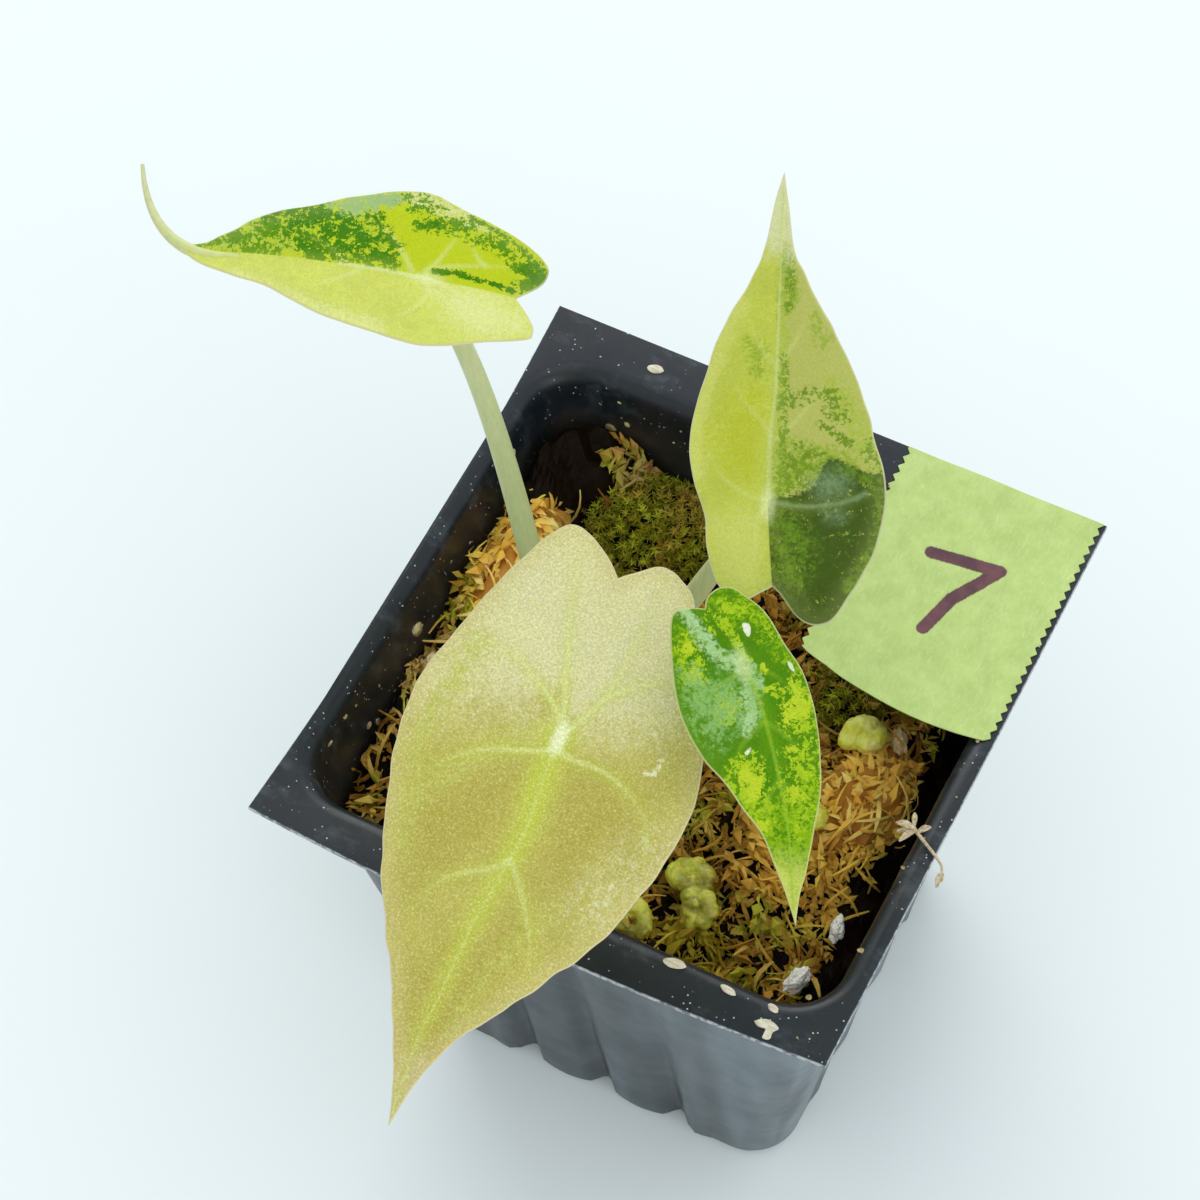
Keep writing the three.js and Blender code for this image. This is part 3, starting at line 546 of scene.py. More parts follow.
# Painted reflection: pale streaks on the outer walls, stronger towards the right, where the bright wall
# stands.
streaks = black.noise(black.place((1, 1, 0.15)), 0.075, 3)
painted_wall_reflection = black.times(outside, black.steps(black.plus(black.times(parts["X"], 0.013), streaks), 0.48, 1.0,
                                          0.05, 0.95))
base = black.blend(painted_wall_reflection, base, (0.148, 0.195, 0.222))
# Painted shade in the folds between the channels.
base = black.blend(black.steps(black.stored("fold"), 0, 0.9, 0, 0.85), base, (0.030, 0.040, 0.047))
edge = black.times(black.stored("cut_edge"),
                  black.steps(black.noise(place, 1.4, 3), 0.38, 0.58, 0.2, 1))
base = black.blend(edge, base, (0.42, 0.45, 0.48))
black.colour(black.blend(dust, base, (0.62, 0.64, 0.65)))
shine = black.steps(black.noise(place, 0.12, 4, 0.6), 0.3, 0.75, 0.30, 0.44)
black.rough(black.math("MAXIMUM", shine, black.times(dust, 0.9)))
black.relief(black.noise(place, 0.22, 2), 0.05, 0.5)
dress(pot, black.material, "black_plastic", "pot")

# %% [markdown]
# ## The leaves
# Each blade is a thin surface that follows its midrib. The midrib starts where the stalk meets the
# blade, runs to the tip and, the other way, into the two lobes. The surface is folded a little
# along it and its edges droop. The same rule made the CAD solids, so the finer blade lies just
# where the plain one was. All outlines are given across and along the midrib in millimetres.

# %% What is known about each leaf
LEAVES = {
    "leaf_front": dict(
        junction=(-0.2, -27.7, 95.2), heading=-88.4, pitch=-18, roll=0, fold=7, edge_drop=0.006,
        droop=0.008, lobe_droop=0.008, wave=0.35, shine=(1.45, -60, 60),
        outline=([(1.6, -17.9), (4, -20.2), (7.7, -21.5), (10, -19.7), (12.7, -13.1),
                  (14.9, -6.4), (16.3, -0.2), (15.7, 7.1), (14.1, 13.4), (11.8, 19.8),
                  (8.9, 25.4), (5.9, 31.1), (2.9, 39), (1.8, 43.8)],
                 [(1.6, -17.9), (-0.1, -19.8), (-2.3, -21), (-4.6, -20.3), (-7.1, -18.2),
                  (-11.7, -10), (-14.9, -2.8), (-15.9, 4), (-14.8, 10.5), (-11.7, 18.5),
                  (-7.1, 25.5), (-2.2, 32.4), (0.3, 37.5), (1.8, 43.8)]),
        stalk=((-9.5, -4.6, 42.9), (-8.5, -6.9, 61.7), (-2.1, -23.1, 77.7)), stalk_radius=(1.7, 1.05),
        midrib=[(0, 0), (-0.1, 4.9), (-0.5, 9.9), (0, 15), (0.7, 19.4), (1.2, 25.1), (1.5, 30.2),
                (2, 34.1), (1.9, 42)],
        veins=[[(0, 0), (0.6, -2.2), (2.7, -8), (5.5, -15.6), (6.9, -19.5)],
               [(0.2, -0.6), (1.8, -2.8), (6.3, -5.5), (10, -6.4), (13.7, -5)],
               [(0, 0), (-1, -1.9), (-2.7, -5.5), (-3.2, -9.4), (-3.4, -15), (-3, -19)],
               [(-2.7, -5.5), (-5.8, -8), (-8.1, -9.1), (-10.6, -9.2)],
               [(0, 1), (1.2, 2), (3.7, 2.9), (6.8, 4.1), (9.9, 6.4), (12.6, 10)],
               [(0, 0.8), (-1.5, 1.6), (-5.3, 1.6), (-8.6, 2.5), (-12, 4.8), (-13.4, 8)],
               [(-0.1, 13.6), (1, 14.9), (4.1, 16.7), (5.8, 18.3), (7.6, 21.5)],
               [(-0.1, 13.4), (-1.3, 14.5), (-4, 18), (-5.7, 21), (-6.6, 24)]]),
    "leaf_back_left": dict(
        junction=(-31.5, 3.5, 118.3), heading=-159.5, pitch=4, roll=0, fold=6, edge_drop=0.01,
        droop=0.004, lobe_droop=0.01, wave=0.3, curl=(21.5, 37, 0.01, 0.14), shine=(1.0, -2, 9.5),
        outline=([(-1.1, -10), (0.8, -12.3), (2.2, -13), (3.5, -12.6), (5.6, -9.8), (9.1, -3),
                  (10.3, 1), (9, 8.6), (7.4, 12.5), (5.7, 16.6), (2.2, 21.4), (0.7, 24), (0, 25.5)],
                 [(-1.1, -10), (-3.8, -11.9), (-5.2, -12.3), (-6.5, -11.3), (-8.1, -5), (-8.6, 1),
                  (-7.2, 6.5), (-5.7, 10.8), (-3.7, 15.1), (-2.6, 19.1), (-1.5, 22.5),
                  (-0.7, 24.5), (0, 25.5)]),
        stalk=((-11.5, -1.3, 42.9), (-16.5, -4.6, 67.5), (-23.9, 7.3, 96.2)),
        stalk_radius=(1.7, 0.95),
        midrib=[(-0.6, -0.8), (-0.1, 4.3), (0.1, 8), (0.4, 13), (0.4, 19), (0.1, 25)],
        veins=[[(0.3, -0.4), (1.5, -1.4), (3.1, -2.2), (4.7, -2.9), (6.6, -2.6)],
               [(0, -0.6), (0.7, -0.8), (1.6, -4.9), (2.2, -8.4), (2.4, -11)],
               [(1.9, -6.4), (2.3, -5.8), (4.4, -4.5)],
               [(0.2, 1), (2.2, 2.2), (4.8, 4.4), (6.6, 8)],
               [(0.3, 8), (2, 10), (3.6, 13.4)],
               [(-0.4, -0.5), (-2.6, -1), (-5.2, 0.8), (-6.6, 4)],
               [(-0.5, -0.8), (-2, -4), (-4, -8.5), (-4.8, -11)],
               [(0, 6), (-1.6, 8), (-3.6, 12)]]),
    "leaf_small": dict(
        junction=(15.5, -17.5, 106.3), heading=-51.7, pitch=-20, roll=0, fold=8, edge_drop=0.01,
        droop=0.008, lobe_droop=0.01, wave=0.2,
        outline=([(2.5, -6.3), (4.2, -6.7), (5.6, -6.5), (6.3, -5), (7.1, 0), (7, 4.3), (5.8, 8.4),
                  (4.3, 10.8), (2.9, 14), (1.4, 17.2), (0.7, 20.3), (0.1, 23.4), (-0.3, 26.8)],
                 [(2.5, -6.3), (2, -7.5), (0.7, -8.3), (-0.6, -8.1), (-1.8, -6.9), (-3.4, -4.8),
                  (-4.8, -1.1), (-5.9, 2.1), (-6.3, 6.9), (-5.8, 11.4), (-5, 14.7), (-2.6, 20.9),
                  (-1.2, 23.8), (-0.3, 26.8)]),
        stalk=((-6.5, -2.7, 42.9), (-4.3, -4.2, 65.3), (11.1, -14.5, 85.6)), stalk_radius=(1.4, 0.8),
        midrib=[(0, 0), (-0.7, 2.4), (-1.1, 5.2), (-1.4, 11.8), (-1.2, 18.2), (-0.4, 25)],
        veins=[[(0, 0), (0.3, -2), (0.8, -4.7), (1.1, -6.8)],
               [(0, 0), (2.2, -1.6), (4.4, -4.8)],
               [(-0.2, 0.8), (2.6, 1.6), (5.2, 4)], [(-0.2, 0.8), (-2.6, 1.4), (-4.4, 3.6)],
               [(-1, 6), (1.6, 8), (3.4, 11)], [(-1, 6), (-3, 8), (-4.4, 11)],
               [(-1.4, 12), (0.2, 14), (1.1, 17)], [(-1.4, 12), (-2.8, 14.4), (-3.2, 17.5)]]),
    "leaf_back_right": dict(
        junction=(9.3, 1.5, 105.2), heading=113.8, pitch=14, roll=6, fold=8, edge_drop=0.008,
        droop=0.004, lobe_droop=0.008, wave=0.3,
        outline=([(0.7, -8.8), (1.6, -9.8), (3, -11.7), (4.6, -12.8), (6.2, -12.9), (7.5, -11.9),
                  (10, -7.8), (11.6, -3.6), (12.2, 1.5), (10.8, 7.2), (9.6, 11.3), (7.7, 16),
                  (5.6, 20.2), (3.1, 25.1), (1.6, 28.6), (1.1, 31.9), (0.6, 35.2), (0.1, 38.1)],
                 [(0.7, -8.8), (-0.6, -9.4), (-2, -10.1), (-3.4, -9.7), (-4.9, -8.7), (-6.1, -5),
                  (-6.6, -1.1), (-7.7, 2.1), (-8.4, 6), (-8.2, 9.8), (-7.3, 13.6), (-6.1, 18.1),
                  (-4.5, 21.8), (-2.6, 25.5), (-1.5, 29.3), (-1.1, 32.2), (-0.6, 35.2), (0.1, 38.1)]),
        stalk=((-8.1, 0.4, 42.9), (-6.3, 0.6, 64), (2.5, 1.5, 86.7)), stalk_radius=(1.6, 1.0),
        midrib=[(0, -0.2), (-0.1, 7), (0.3, 11.7), (0.3, 19.7), (0.2, 29.6), (0.3, 36)],
        veins=[[(0.2, 0), (0.7, -0.1), (4.1, -0.6), (8.2, -0.1), (10.6, 0.9)],
               [(0.1, -0.4), (0.3, -2), (2.4, -7), (4.6, -11)],
               [(-0.2, 0.4), (-2.6, 1), (-5.4, 3.4), (-6.8, 6.6)],
               [(-0.3, -0.4), (-1.1, -1.8), (-1.2, -5.1), (-2.1, -8.3)],
               [(0.1, 6.4), (-0.3, 8.1), (-2.8, 11.1), (-4.5, 14.3)],
               [(0.1, 6.6), (3, 9.4), (6, 14)], [(0.3, 15), (2.2, 18), (3.6, 21.6)],
               [(0.3, 15), (-1.6, 17.6), (-3, 21)]]),
}
print("leaves:", list(LEAVES))

# %% [markdown]
# Marching along the midrib in half-millimetre steps, and bending the direction a little at each
# step, gives every point of the surface by interpolation. `outline` rounds the measured points
# with a Catmull-Rom curve, which passes through each of them.

# %% The surface rule
def blade_frame(leaf):
    h, p = math.radians(leaf["heading"]), math.radians(leaf["pitch"])
    along = np.array([math.cos(h) * math.cos(p), math.sin(h) * math.cos(p), math.sin(p)])
    rise = np.array([0, 0, 1.0]) - along * along[2]
    rise = Vector(rise / np.linalg.norm(rise))
    rise.rotate(Matrix.Rotation(-math.radians(leaf["roll"]), 3, Vector(along)))
    rise = np.array(rise)
    return along, rise, np.cross(along, rise)


def march(leaf, step=0.5, reach=48):
    """Points and directions along the midrib, from the lobes (negative) to the tip."""
    along, rise, across = blade_frame(leaf)
    start, end, curl_up, curl_side = leaf.get("curl", (1e9, 1e9, 0, 0))
    tables = []
    for sign in (-1, 1):
        point, heading = np.array(leaf["junction"], float), along.copy()
        places, headings = [point.copy()], [heading.copy()]
        for i in range(int(reach / step)):
            bend = rise * (-leaf["droop"] if sign > 0 else leaf["lobe_droop"])
            if sign > 0 and start <= i * step < end:
                bend = bend + rise * curl_up + across * curl_side
            bend = bend - heading * (bend @ heading)
            heading = heading + bend * step / 2
            heading /= np.linalg.norm(heading)
            point = point + sign * step * heading
            heading = heading + bend * step / 2
            heading /= np.linalg.norm(heading)
            places.append(point.copy())
            headings.append(heading.copy())
        tables.append((np.array(places), np.array(headings)))
    (back_places, back_headings), (places, headings) = tables
    distances = np.arange(-len(back_places) + 1, len(places)) * step
    return (distances, np.vstack([back_places[:0:-1], places]),
            np.vstack([back_headings[:0:-1], headings]))


def on_blade(leaf, table, x, y, lift):
    """Points of the surface at x across and y along, lifted off it along its normal."""
    distances, places, headings = table
    _, rise, _ = blade_frame(leaf)
    place = np.stack([np.interp(y, distances, places[:, k]) for k in range(3)], -1)
    heading = np.stack([np.interp(y, distances, headings[:, k]) for k in range(3)], -1)
    heading /= np.linalg.norm(heading, axis=-1, keepdims=True)
    normal = rise - heading * (heading @ rise)[..., None]
    normal /= np.linalg.norm(normal, axis=-1, keepdims=True)
    side = np.cross(heading, normal)
    fold = math.tan(math.radians(leaf["fold"])) * (np.sqrt(x * x + 0.16) - 0.3)
    height = fold - leaf["edge_drop"] * x * x + lift
    return place + side * x[..., None] + normal * height[..., None]


def through(points, count):
    """A Catmull-Rom curve through the points, cut into equal lengths."""
    p = np.array(points, float)
    p = np.vstack([p[0], p, p[-1]])
    t = np.linspace(0, 1, 40, endpoint=False)[:, None]
    parts = []
    for a, b, c, d in zip(p, p[1:], p[2:], p[3:]):
        parts.append(0.5 * (2 * b + (c - a) * t + (2 * a - 5 * b + 4 * c - d) * t ** 2
                            + (3 * b - 3 * c + d - a) * t ** 3))
    line = np.vstack(parts + [p[-1:]])
    length = np.concatenate([[0], np.cumsum(np.linalg.norm(np.diff(line, axis=0), axis=1))])
    even = np.linspace(0, length[-1], count)
    return np.stack([np.interp(even, length, line[:, k]) for k in range(line.shape[1])], -1)


tips = {name: on_blade(leaf, march(leaf), np.array([0.0]), np.array([leaf["outline"][0][-1][1]]),
                       0.0)[0].round(1).tolist() for name, leaf in LEAVES.items()}
print("tips:", tips)

# %% [markdown]
# Leaf tissue swells between the veins and the margin is a hair thicker and paler. A vein's
# closeness is stored on each point as a number, and the same number raises the vein in the mesh
# and colours it in the material, so relief and colour can't drift apart. The distance to the
# margin is stored too.

# %% Closeness to veins and margin
def nearest(points, line):
    """Distance from each point to the nearest of the line's points, and that point's index."""
    tree = KDTree(len(line))
    for i, (x, y) in enumerate(line):
        tree.insert((x, y, 0), i)
    tree.balance()
    found = [tree.find((x, y, 0)) for x, y in points]
    return np.array([f[2] for f in found]), np.array([f[1] for f in found])


def vein_fields(leaf, points):
    """Midrib, side veins and the wide glow round both, each from 0 to 1."""
    wide, from_y, to_y = leaf.get("shine", (1.0, -60, 60))
    line = through(leaf["midrib"], 160)
    away, index = nearest(points, line)
    taper = 1 - 0.65 * index / 160
    rib = np.exp(-(away / (0.34 * taper)) ** 2)
    rib *= np.clip(points[:, 1] - from_y, 0, 1) * np.clip(to_y - points[:, 1], 0, 1)
    glow = np.exp(-(away / (1.35 * wide * taper)) ** 2) * np.clip(1.2 - index / 165, 0, 1)
    side = np.zeros(len(points))
    for vein in leaf["veins"]:
        line = through(vein, 60)
        away, index = nearest(points, line)
        taper = 1 - 0.75 * index / 60
        side = np.maximum(side, 0.75 * taper * np.exp(-(away / 0.36) ** 2))
        glow = np.maximum(glow, 0.5 * taper * np.exp(-(away / (0.65 * wide)) ** 2))
    return rib, side, glow


def half_field(leaf, points):
    """Signed distance to the line that splits the blade: notch, midrib, tip."""
    outline = leaf["outline"][0]
    line = through([outline[0]] + leaf["midrib"] + [outline[-1]], 400)
    away, index = nearest(points, line)
    ahead = np.gradient(line, axis=0)[index]
    gap = points - line[index]
    return np.sign(ahead[:, 1] * gap[:, 0] - ahead[:, 0] * gap[:, 1]) * away


def inside(points, ring):
    """Whether each point lies within a closed ring, by counting the edges it sees to its right."""
    within = np.zeros(len(points), bool)
    for (x0, y0), (x1, y1) in zip(ring, np.roll(ring, -1, axis=0)):
        crosses = (points[:, 1] < y0) != (points[:, 1] < y1)
        at = x0 + (points[:, 1] - y0) * (x1 - x0) / (y1 - y0 if y1 != y0 else 1e-9)
        within ^= crosses & (points[:, 0] < at)
    return within


def marking(points, marks):
    """The strongest of several marks: an area with soft borders, a band along a line, or a spot."""
    field = np.zeros(len(points))
    for kind, shape, width, strength in marks:
        if kind == "area":
            ring = through(shape + [shape[0]], 160)[:-1]
            away, _ = nearest(points, ring)
            value = np.clip(0.5 + np.where(inside(points, ring), away, -away) / (2 * width), 0, 1)
        elif kind == "band":
            away, _ = nearest(points, through(shape, 80))
            value = np.exp(-(away / width) ** 2)
        else:
            value = np.exp(-((points - np.array(shape)) ** 2).sum(axis=1) / width ** 2)
        field = np.maximum(field, strength * value)
    return field


print("fields ready")

# %% [markdown]
# The blade itself is a wheel of rings round the junction, close together so that the veins come
# out clean. Top and underside share the outermost ring, which makes a rounded margin. On the
# underside the veins stand out further, as they do on a real leaf.

# %% Building a blade
AROUND = 380
THICK, THIN = 0.46, 0.26


def make_blade(name, node, zones, material, slot):
    leaf = LEAVES[node]
    table = march(leaf)
    sides = [through(side, AROUND // 2 + 1) for side in leaf["outline"]]
    edge = np.vstack([sides[0], sides[1][::-1][1:-1]])
    uneven = [noise.noise((x * 0.33, y * 0.33, 8.0)) for x, y in edge]
    edge = edge * (1 + 0.014 * np.array(uneven))[:, None]
    angle = np.arctan2(edge[:, 0], edge[:, 1])
    rows = []
    top = np.linspace(0, 1, 53)[1:] ** 0.9
    below = np.linspace(0, 1, 23)[1:] ** 0.9
    for face, fractions in ((1, top), (-1, below[::-1][1:])):
        for f in fractions:
            rows.append((face, f))
    flat = np.vstack([edge * f for _, f in rows] + [[(0, 0)], [(0, 0)]])
    share = np.concatenate([np.full(AROUND, f) for _, f in rows] + [[0, 0]])
    face = np.concatenate([np.full(AROUND, float(s)) for s, _ in rows] + [[1, -1]])
    turn = np.concatenate([np.tile(angle, len(rows)), [0, 0]])
    rib, side_veins, glow = vein_fields(leaf, flat)
    fine = np.maximum(rib, side_veins)
    margin, _ = nearest(flat, edge)
    half = (THIN + (THICK - THIN) * np.clip(margin / 3, 0, 1)) / 2
    half = half * np.sqrt(np.clip(margin / 0.16, 0, 1))
    bead = 0.05 * np.exp(-((margin - 0.25) / 0.2) ** 2)
    quilt = 0.10 * (1 - glow) * np.clip(margin / 2, 0, 1)
    quilt *= np.array([noise.noise((x * 0.3, y * 0.3, 3.0)) for x, y in flat])
    ripple = leaf["wave"] * share ** 3 * np.sin(5 * turn + 1.3)
    lift = ripple + quilt
    lift += np.where(face > 0, half + 0.12 * fine + bead, -half - 0.30 * fine - 0.04 * glow)
    points = on_blade(leaf, table, flat[:, 0], flat[:, 1], lift)
    count = len(rows)
    grid = [points[r * AROUND:(r + 1) * AROUND] for r in range(count)]
    shell, faces = skin(grid, points[-2], points[-1])
    values = {"blade": np.column_stack([flat, face]), "rib": rib, "vein": side_veins,
              "glow": glow, "margin": margin, "half": half_field(leaf, flat),
              "heart": np.exp(-(((flat - leaf["midrib"][0]) / (0.85, 2.0)) ** 2).sum(axis=1)),
              **{key: marking(flat, marks) for key, marks in zones.items()}}
    piece = plain_object(name, shell, faces, values)
    crease(piece.data, 70)
    return dress(piece, material, slot, node)


print("blade builder ready")

# %% [markdown]
# Variegated tissue is a patchwork of cell lines with and without chlorophyll. Each colour is a
# layer over the ground: an area measured on the leaf says roughly where it lies, and three scales
# of noise tear it into blotches, flecks and dots. A layer can be kept to one half of the blade,
# because the midrib is often a sharp border. On top come the glow beside the veins, the midrib,
# a thin rim, and a grain as fine as the leaf's own cells.

# %% The leaf finish
def leaf_finish(name, ground, layers, glow, vein, rim, fringe, vein_part=0.5, glow_part=0.8,
                fringe_part=0.12, grain=0.08, painted_sparkle=0.0, veins_after=0, heart_part=0.3,
                rib_part=0.5):
    """Layers are (attribute, colour, raggedness, softness, half), laid over the ground in order.
    Half is 1 for the right of the midrib, -1 for the left and 0 for both. The side veins go under
    some of the layers, or over all of them and over the glow."""
    leaf = Finish(name, 0.44)
    where = leaf.stored("blade", "Vector")
    broad = leaf.noise(where, 0.2, 3)
    cell = leaf.noise(where, 4.2, 3, 0.65)
    mottle = leaf.noise(where, 1.1, 5, 0.7, 0.5)
    tissue = leaf.blend(leaf.steps(leaf.plus(broad, mottle), 0.8, 1.2, 0, 0.7), ground,
                        tuple(0.84 * v for v in ground))
    on_vein = leaf.steps(leaf.stored("vein"), 0.1, 0.7, 0, vein_part)
    for i, (zone, colour, ragged, soft, half) in enumerate(layers):
        if i == veins_after:
            tissue = leaf.blend(on_vein, tissue, vein)
        moved = leaf.add("VectorMath", {0: where, 1: (9.0 * i, 5.0 * i, 0)}).outputs[0]
        torn = 0.0
        for scale, share in ((0.8, 0.45), (2.3, 0.6), (5.5, 0.35)):
            part = leaf.steps(leaf.noise(moved, scale, 3, 0.6, 0.5), 0.36, 0.64, -ragged * share,
                              ragged * share, soft=False)
            torn = leaf.plus(torn, part)
        field = leaf.stored(zone)
        torn = leaf.times(torn, leaf.steps(field, 0.0, 0.3))
        amount = leaf.steps(leaf.plus(field, torn), 0.5 - soft, 0.5 + soft)
        if half:
            amount = leaf.times(amount, leaf.steps(leaf.stored("half"), -0.1 * half,
                                                              0.1 * half))
        tissue = leaf.blend(amount, tissue, colour)
    margin = leaf.stored("margin")
    tissue = leaf.blend(leaf.steps(margin, 2.6, 0.2, 0, fringe_part), tissue, fringe)
    near_vein = leaf.times(leaf.stored("glow"), leaf.steps(broad, 0.2, 0.6, 0.8, 1.15))
    near_vein = leaf.times(leaf.plus(near_vein, leaf.times(leaf.math("SUBTRACT", mottle, 0.5), 0.5)),
                           glow_part, clamp=True)
    tissue = leaf.blend(near_vein, tissue, glow)
    if veins_after >= len(layers):
        tissue = leaf.blend(on_vein, tissue, vein)
    tissue = leaf.blend(leaf.steps(leaf.stored("rib"), 0.15, 1.0, 0, rib_part), tissue, vein)
    tissue = leaf.blend(leaf.steps(leaf.stored("heart"), 0.1, 0.8, 0, heart_part), tissue,
                        (0.82, 0.87, 0.54))
    # Painted highlights: sparse pale specks on the cells, where they glitter.
    if painted_sparkle:
        tissue = leaf.blend(leaf.steps(cell, 0.54, 0.68, 0, painted_sparkle), tissue, (0.92, 0.90, 0.68))
    speck = leaf.steps(cell, 0.34, 0.66, 1 - grain, 1 + grain, soft=False)
    tissue = leaf.blend(1.0, tissue, leaf.add("CombineColor", {
        "Red": speck, "Green": speck, "Blue": speck}).outputs[0], "MULTIPLY")
    leaf.colour(leaf.blend(leaf.steps(margin, 0.24, 0.08, 0, 0.8), tissue, rim))
    leaf.rough(leaf.steps(leaf.plus(cell, broad), 0.7, 1.3, 0.36, 0.5))
    leaf.relief(leaf.plus(leaf.cells(where, 3.2), mottle), 0.06, 0.5)
    leaf.fixed(Subsurface_Weight=0.12, Subsurface_Scale=0.0006, Specular_IOR_Level=0.07)
    leaf.shader.inputs["Subsurface Radius"].default_value = (0.8, 1.0, 0.25)
    return leaf.material


print("leaf finish ready")

# %% [markdown]
# The front leaf is the oldest and has hardly any green left: olive and straw between the veins,
# paler and rosier on the lobes, partly their own colour and partly a painted sheen, with a lime band
# down the midrib. Where the surface turns towards the window its cells glitter, which is drawn as a
# pale, grainy layer of painted highlight, with sparse pale specks of painted sparkle.

# %% Front leaf
front_finish = leaf_finish(
    "straw_and_olive_leaf", ground=(0.505, 0.460, 0.105), layers=[
        # lobes: paler lobes, partly their own colour and partly a painted sheen where they face the window.
        ("lobes", (0.68, 0.65, 0.33), 0.3, 0.5, 0),
        ("olive", (0.425, 0.365, 0.066), 0.45, 0.5, 0),
        ("limy", (0.50, 0.515, 0.11), 0.5, 0.5, 0),
        ("glitter", (0.66, 0.64, 0.36), 0.5, 0.6, 0),
        ("tip", (0.55, 0.46, 0.25), 0.4, 0.5, 0),
        ("scuff", (0.76, 0.74, 0.48), 0.4, 0.3, 0)],
    glow=(0.515, 0.565, 0.075), vein=(0.68, 0.73, 0.28), rim=(0.66, 0.58, 0.36),
    fringe=(0.60, 0.52, 0.22), vein_part=0.62, glow_part=0.95, fringe_part=0.5, grain=0.16,
    painted_sparkle=0.16, veins_after=9, heart_part=0.8, rib_part=0.25)
make_blade("front_leaf_blade", "leaf_front", {
    "lobes": [
        ("area", [(-13, -8), (-9, -22), (0, -24), (10, -24), (16, -10), (17, 2), (9, -1), (3, -2),
            (-4, -3)], 6.0, 1.0)],
    "olive": [
        ("area", [(5.5, -2.7), (2.2, -4.4), (1.1, -1.9), (3.2, -1.3)], 1.5, 0.6),
        ("area", [(14, 8.8), (4.6, 4.8), (1.3, 5.7), (1.7, 11.6), (5.5, 17.7), (10, 17.8)], 3.0, 0.7),
        ("area", [(-2.9, 1.8), (-9, 2.9), (-12, 4.5), (-10.3, 8), (-7.5, 13.7), (-4, 15.1), (-2, 7.9)], 3.0,
            0.7),
        ("band", [(-3.3, 20.4), (-0.7, 28.8), (0.6, 36.2)], 2.4, 0.7),
        ("band", [(2.1, 23.2), (3.6, 30), (2.4, 38)], 2.0, 0.6)],
    "limy": [
        ("band", [(0.3, 0), (6, 3.5), (12, 12)], 1.8, 0.55),
        ("band", [(-7, 16), (-3, 24), (-1, 32)], 1.3, 0.5),
        ("band", [(12, -6), (13.5, 6), (11, 16)], 1.8, 0.55)],
    "glitter": [
        ("band", [(9.6, -14.4), (5.5, -11.9), (2.0, -9.3), (7.0, -4.4)], 3.2, 0.55),
        ("band", [(-3.3, -18.3), (-2.4, -11.5), (-0.6, -4.3)], 2.6, 0.55),
        ("area", [(0.5, -5.7), (-4.6, -10), (-9.8, -10.3), (-11.9, -7), (-5.8, -2.2), (-1.1, -2.2)], 2.5,
            0.5),
        ("area", [(-11.5, 5.3), (-15.8, 4.7), (-14.9, 10.7), (-11.8, 17), (-7.8, 15.8), (-8.2, 12.3)], 2.6,
            0.34)],
    "tip": [
        ("band", [(1.3, 37), (1.9, 44)], 2.6, 0.8)],
    "scuff": [
        ("band", [(-10.8, -1.6), (-10.8, -0.4), (-9.9, 0.2)], 0.34, 0.75)],
}, front_finish, "leaf_olive")

# %% [markdown]
# The back left leaf is split down the midrib. Its far half is lime under a large torn area of dark
# green, with more green towards the lobe's end and along the margin, and a painted silvery sheen at
# the far edge, where it catches the light. Its near half has no green at all.

# %% Back left leaf
lime_finish = leaf_finish(
    "lime_and_dark_green_leaf", ground=(0.60, 0.65, 0.125), layers=[
        ("cream", (0.67, 0.71, 0.27), 0.3, 0.5, 0),
        ("lime", (0.46, 0.55, 0.012), 0.3, 0.3, 1),
        ("dull", (0.39, 0.51, 0.055), 0.7, 0.4, 1),
        ("far_cream", (0.60, 0.63, 0.26), 0.8, 0.4, 1),
        ("green", (0.095, 0.25, 0.002), 0.95, 0.09, 1),
        ("dark", (0.047, 0.195, 0.001), 0.65, 0.1, 1),
        ("island", (0.42, 0.53, 0.02), 0.75, 0.12, 1),
        # Painted sheen: the silvery layer stands for light reflected at the far edge.
        ("painted_silver_sheen", (0.29, 0.45, 0.18), 0.7, 0.4, 1)],
    glow=(0.56, 0.64, 0.09), vein=(0.72, 0.76, 0.40), rim=(0.60, 0.55, 0.32),
    fringe=(0.62, 0.64, 0.24), vein_part=0.35, glow_part=0.3, veins_after=4)
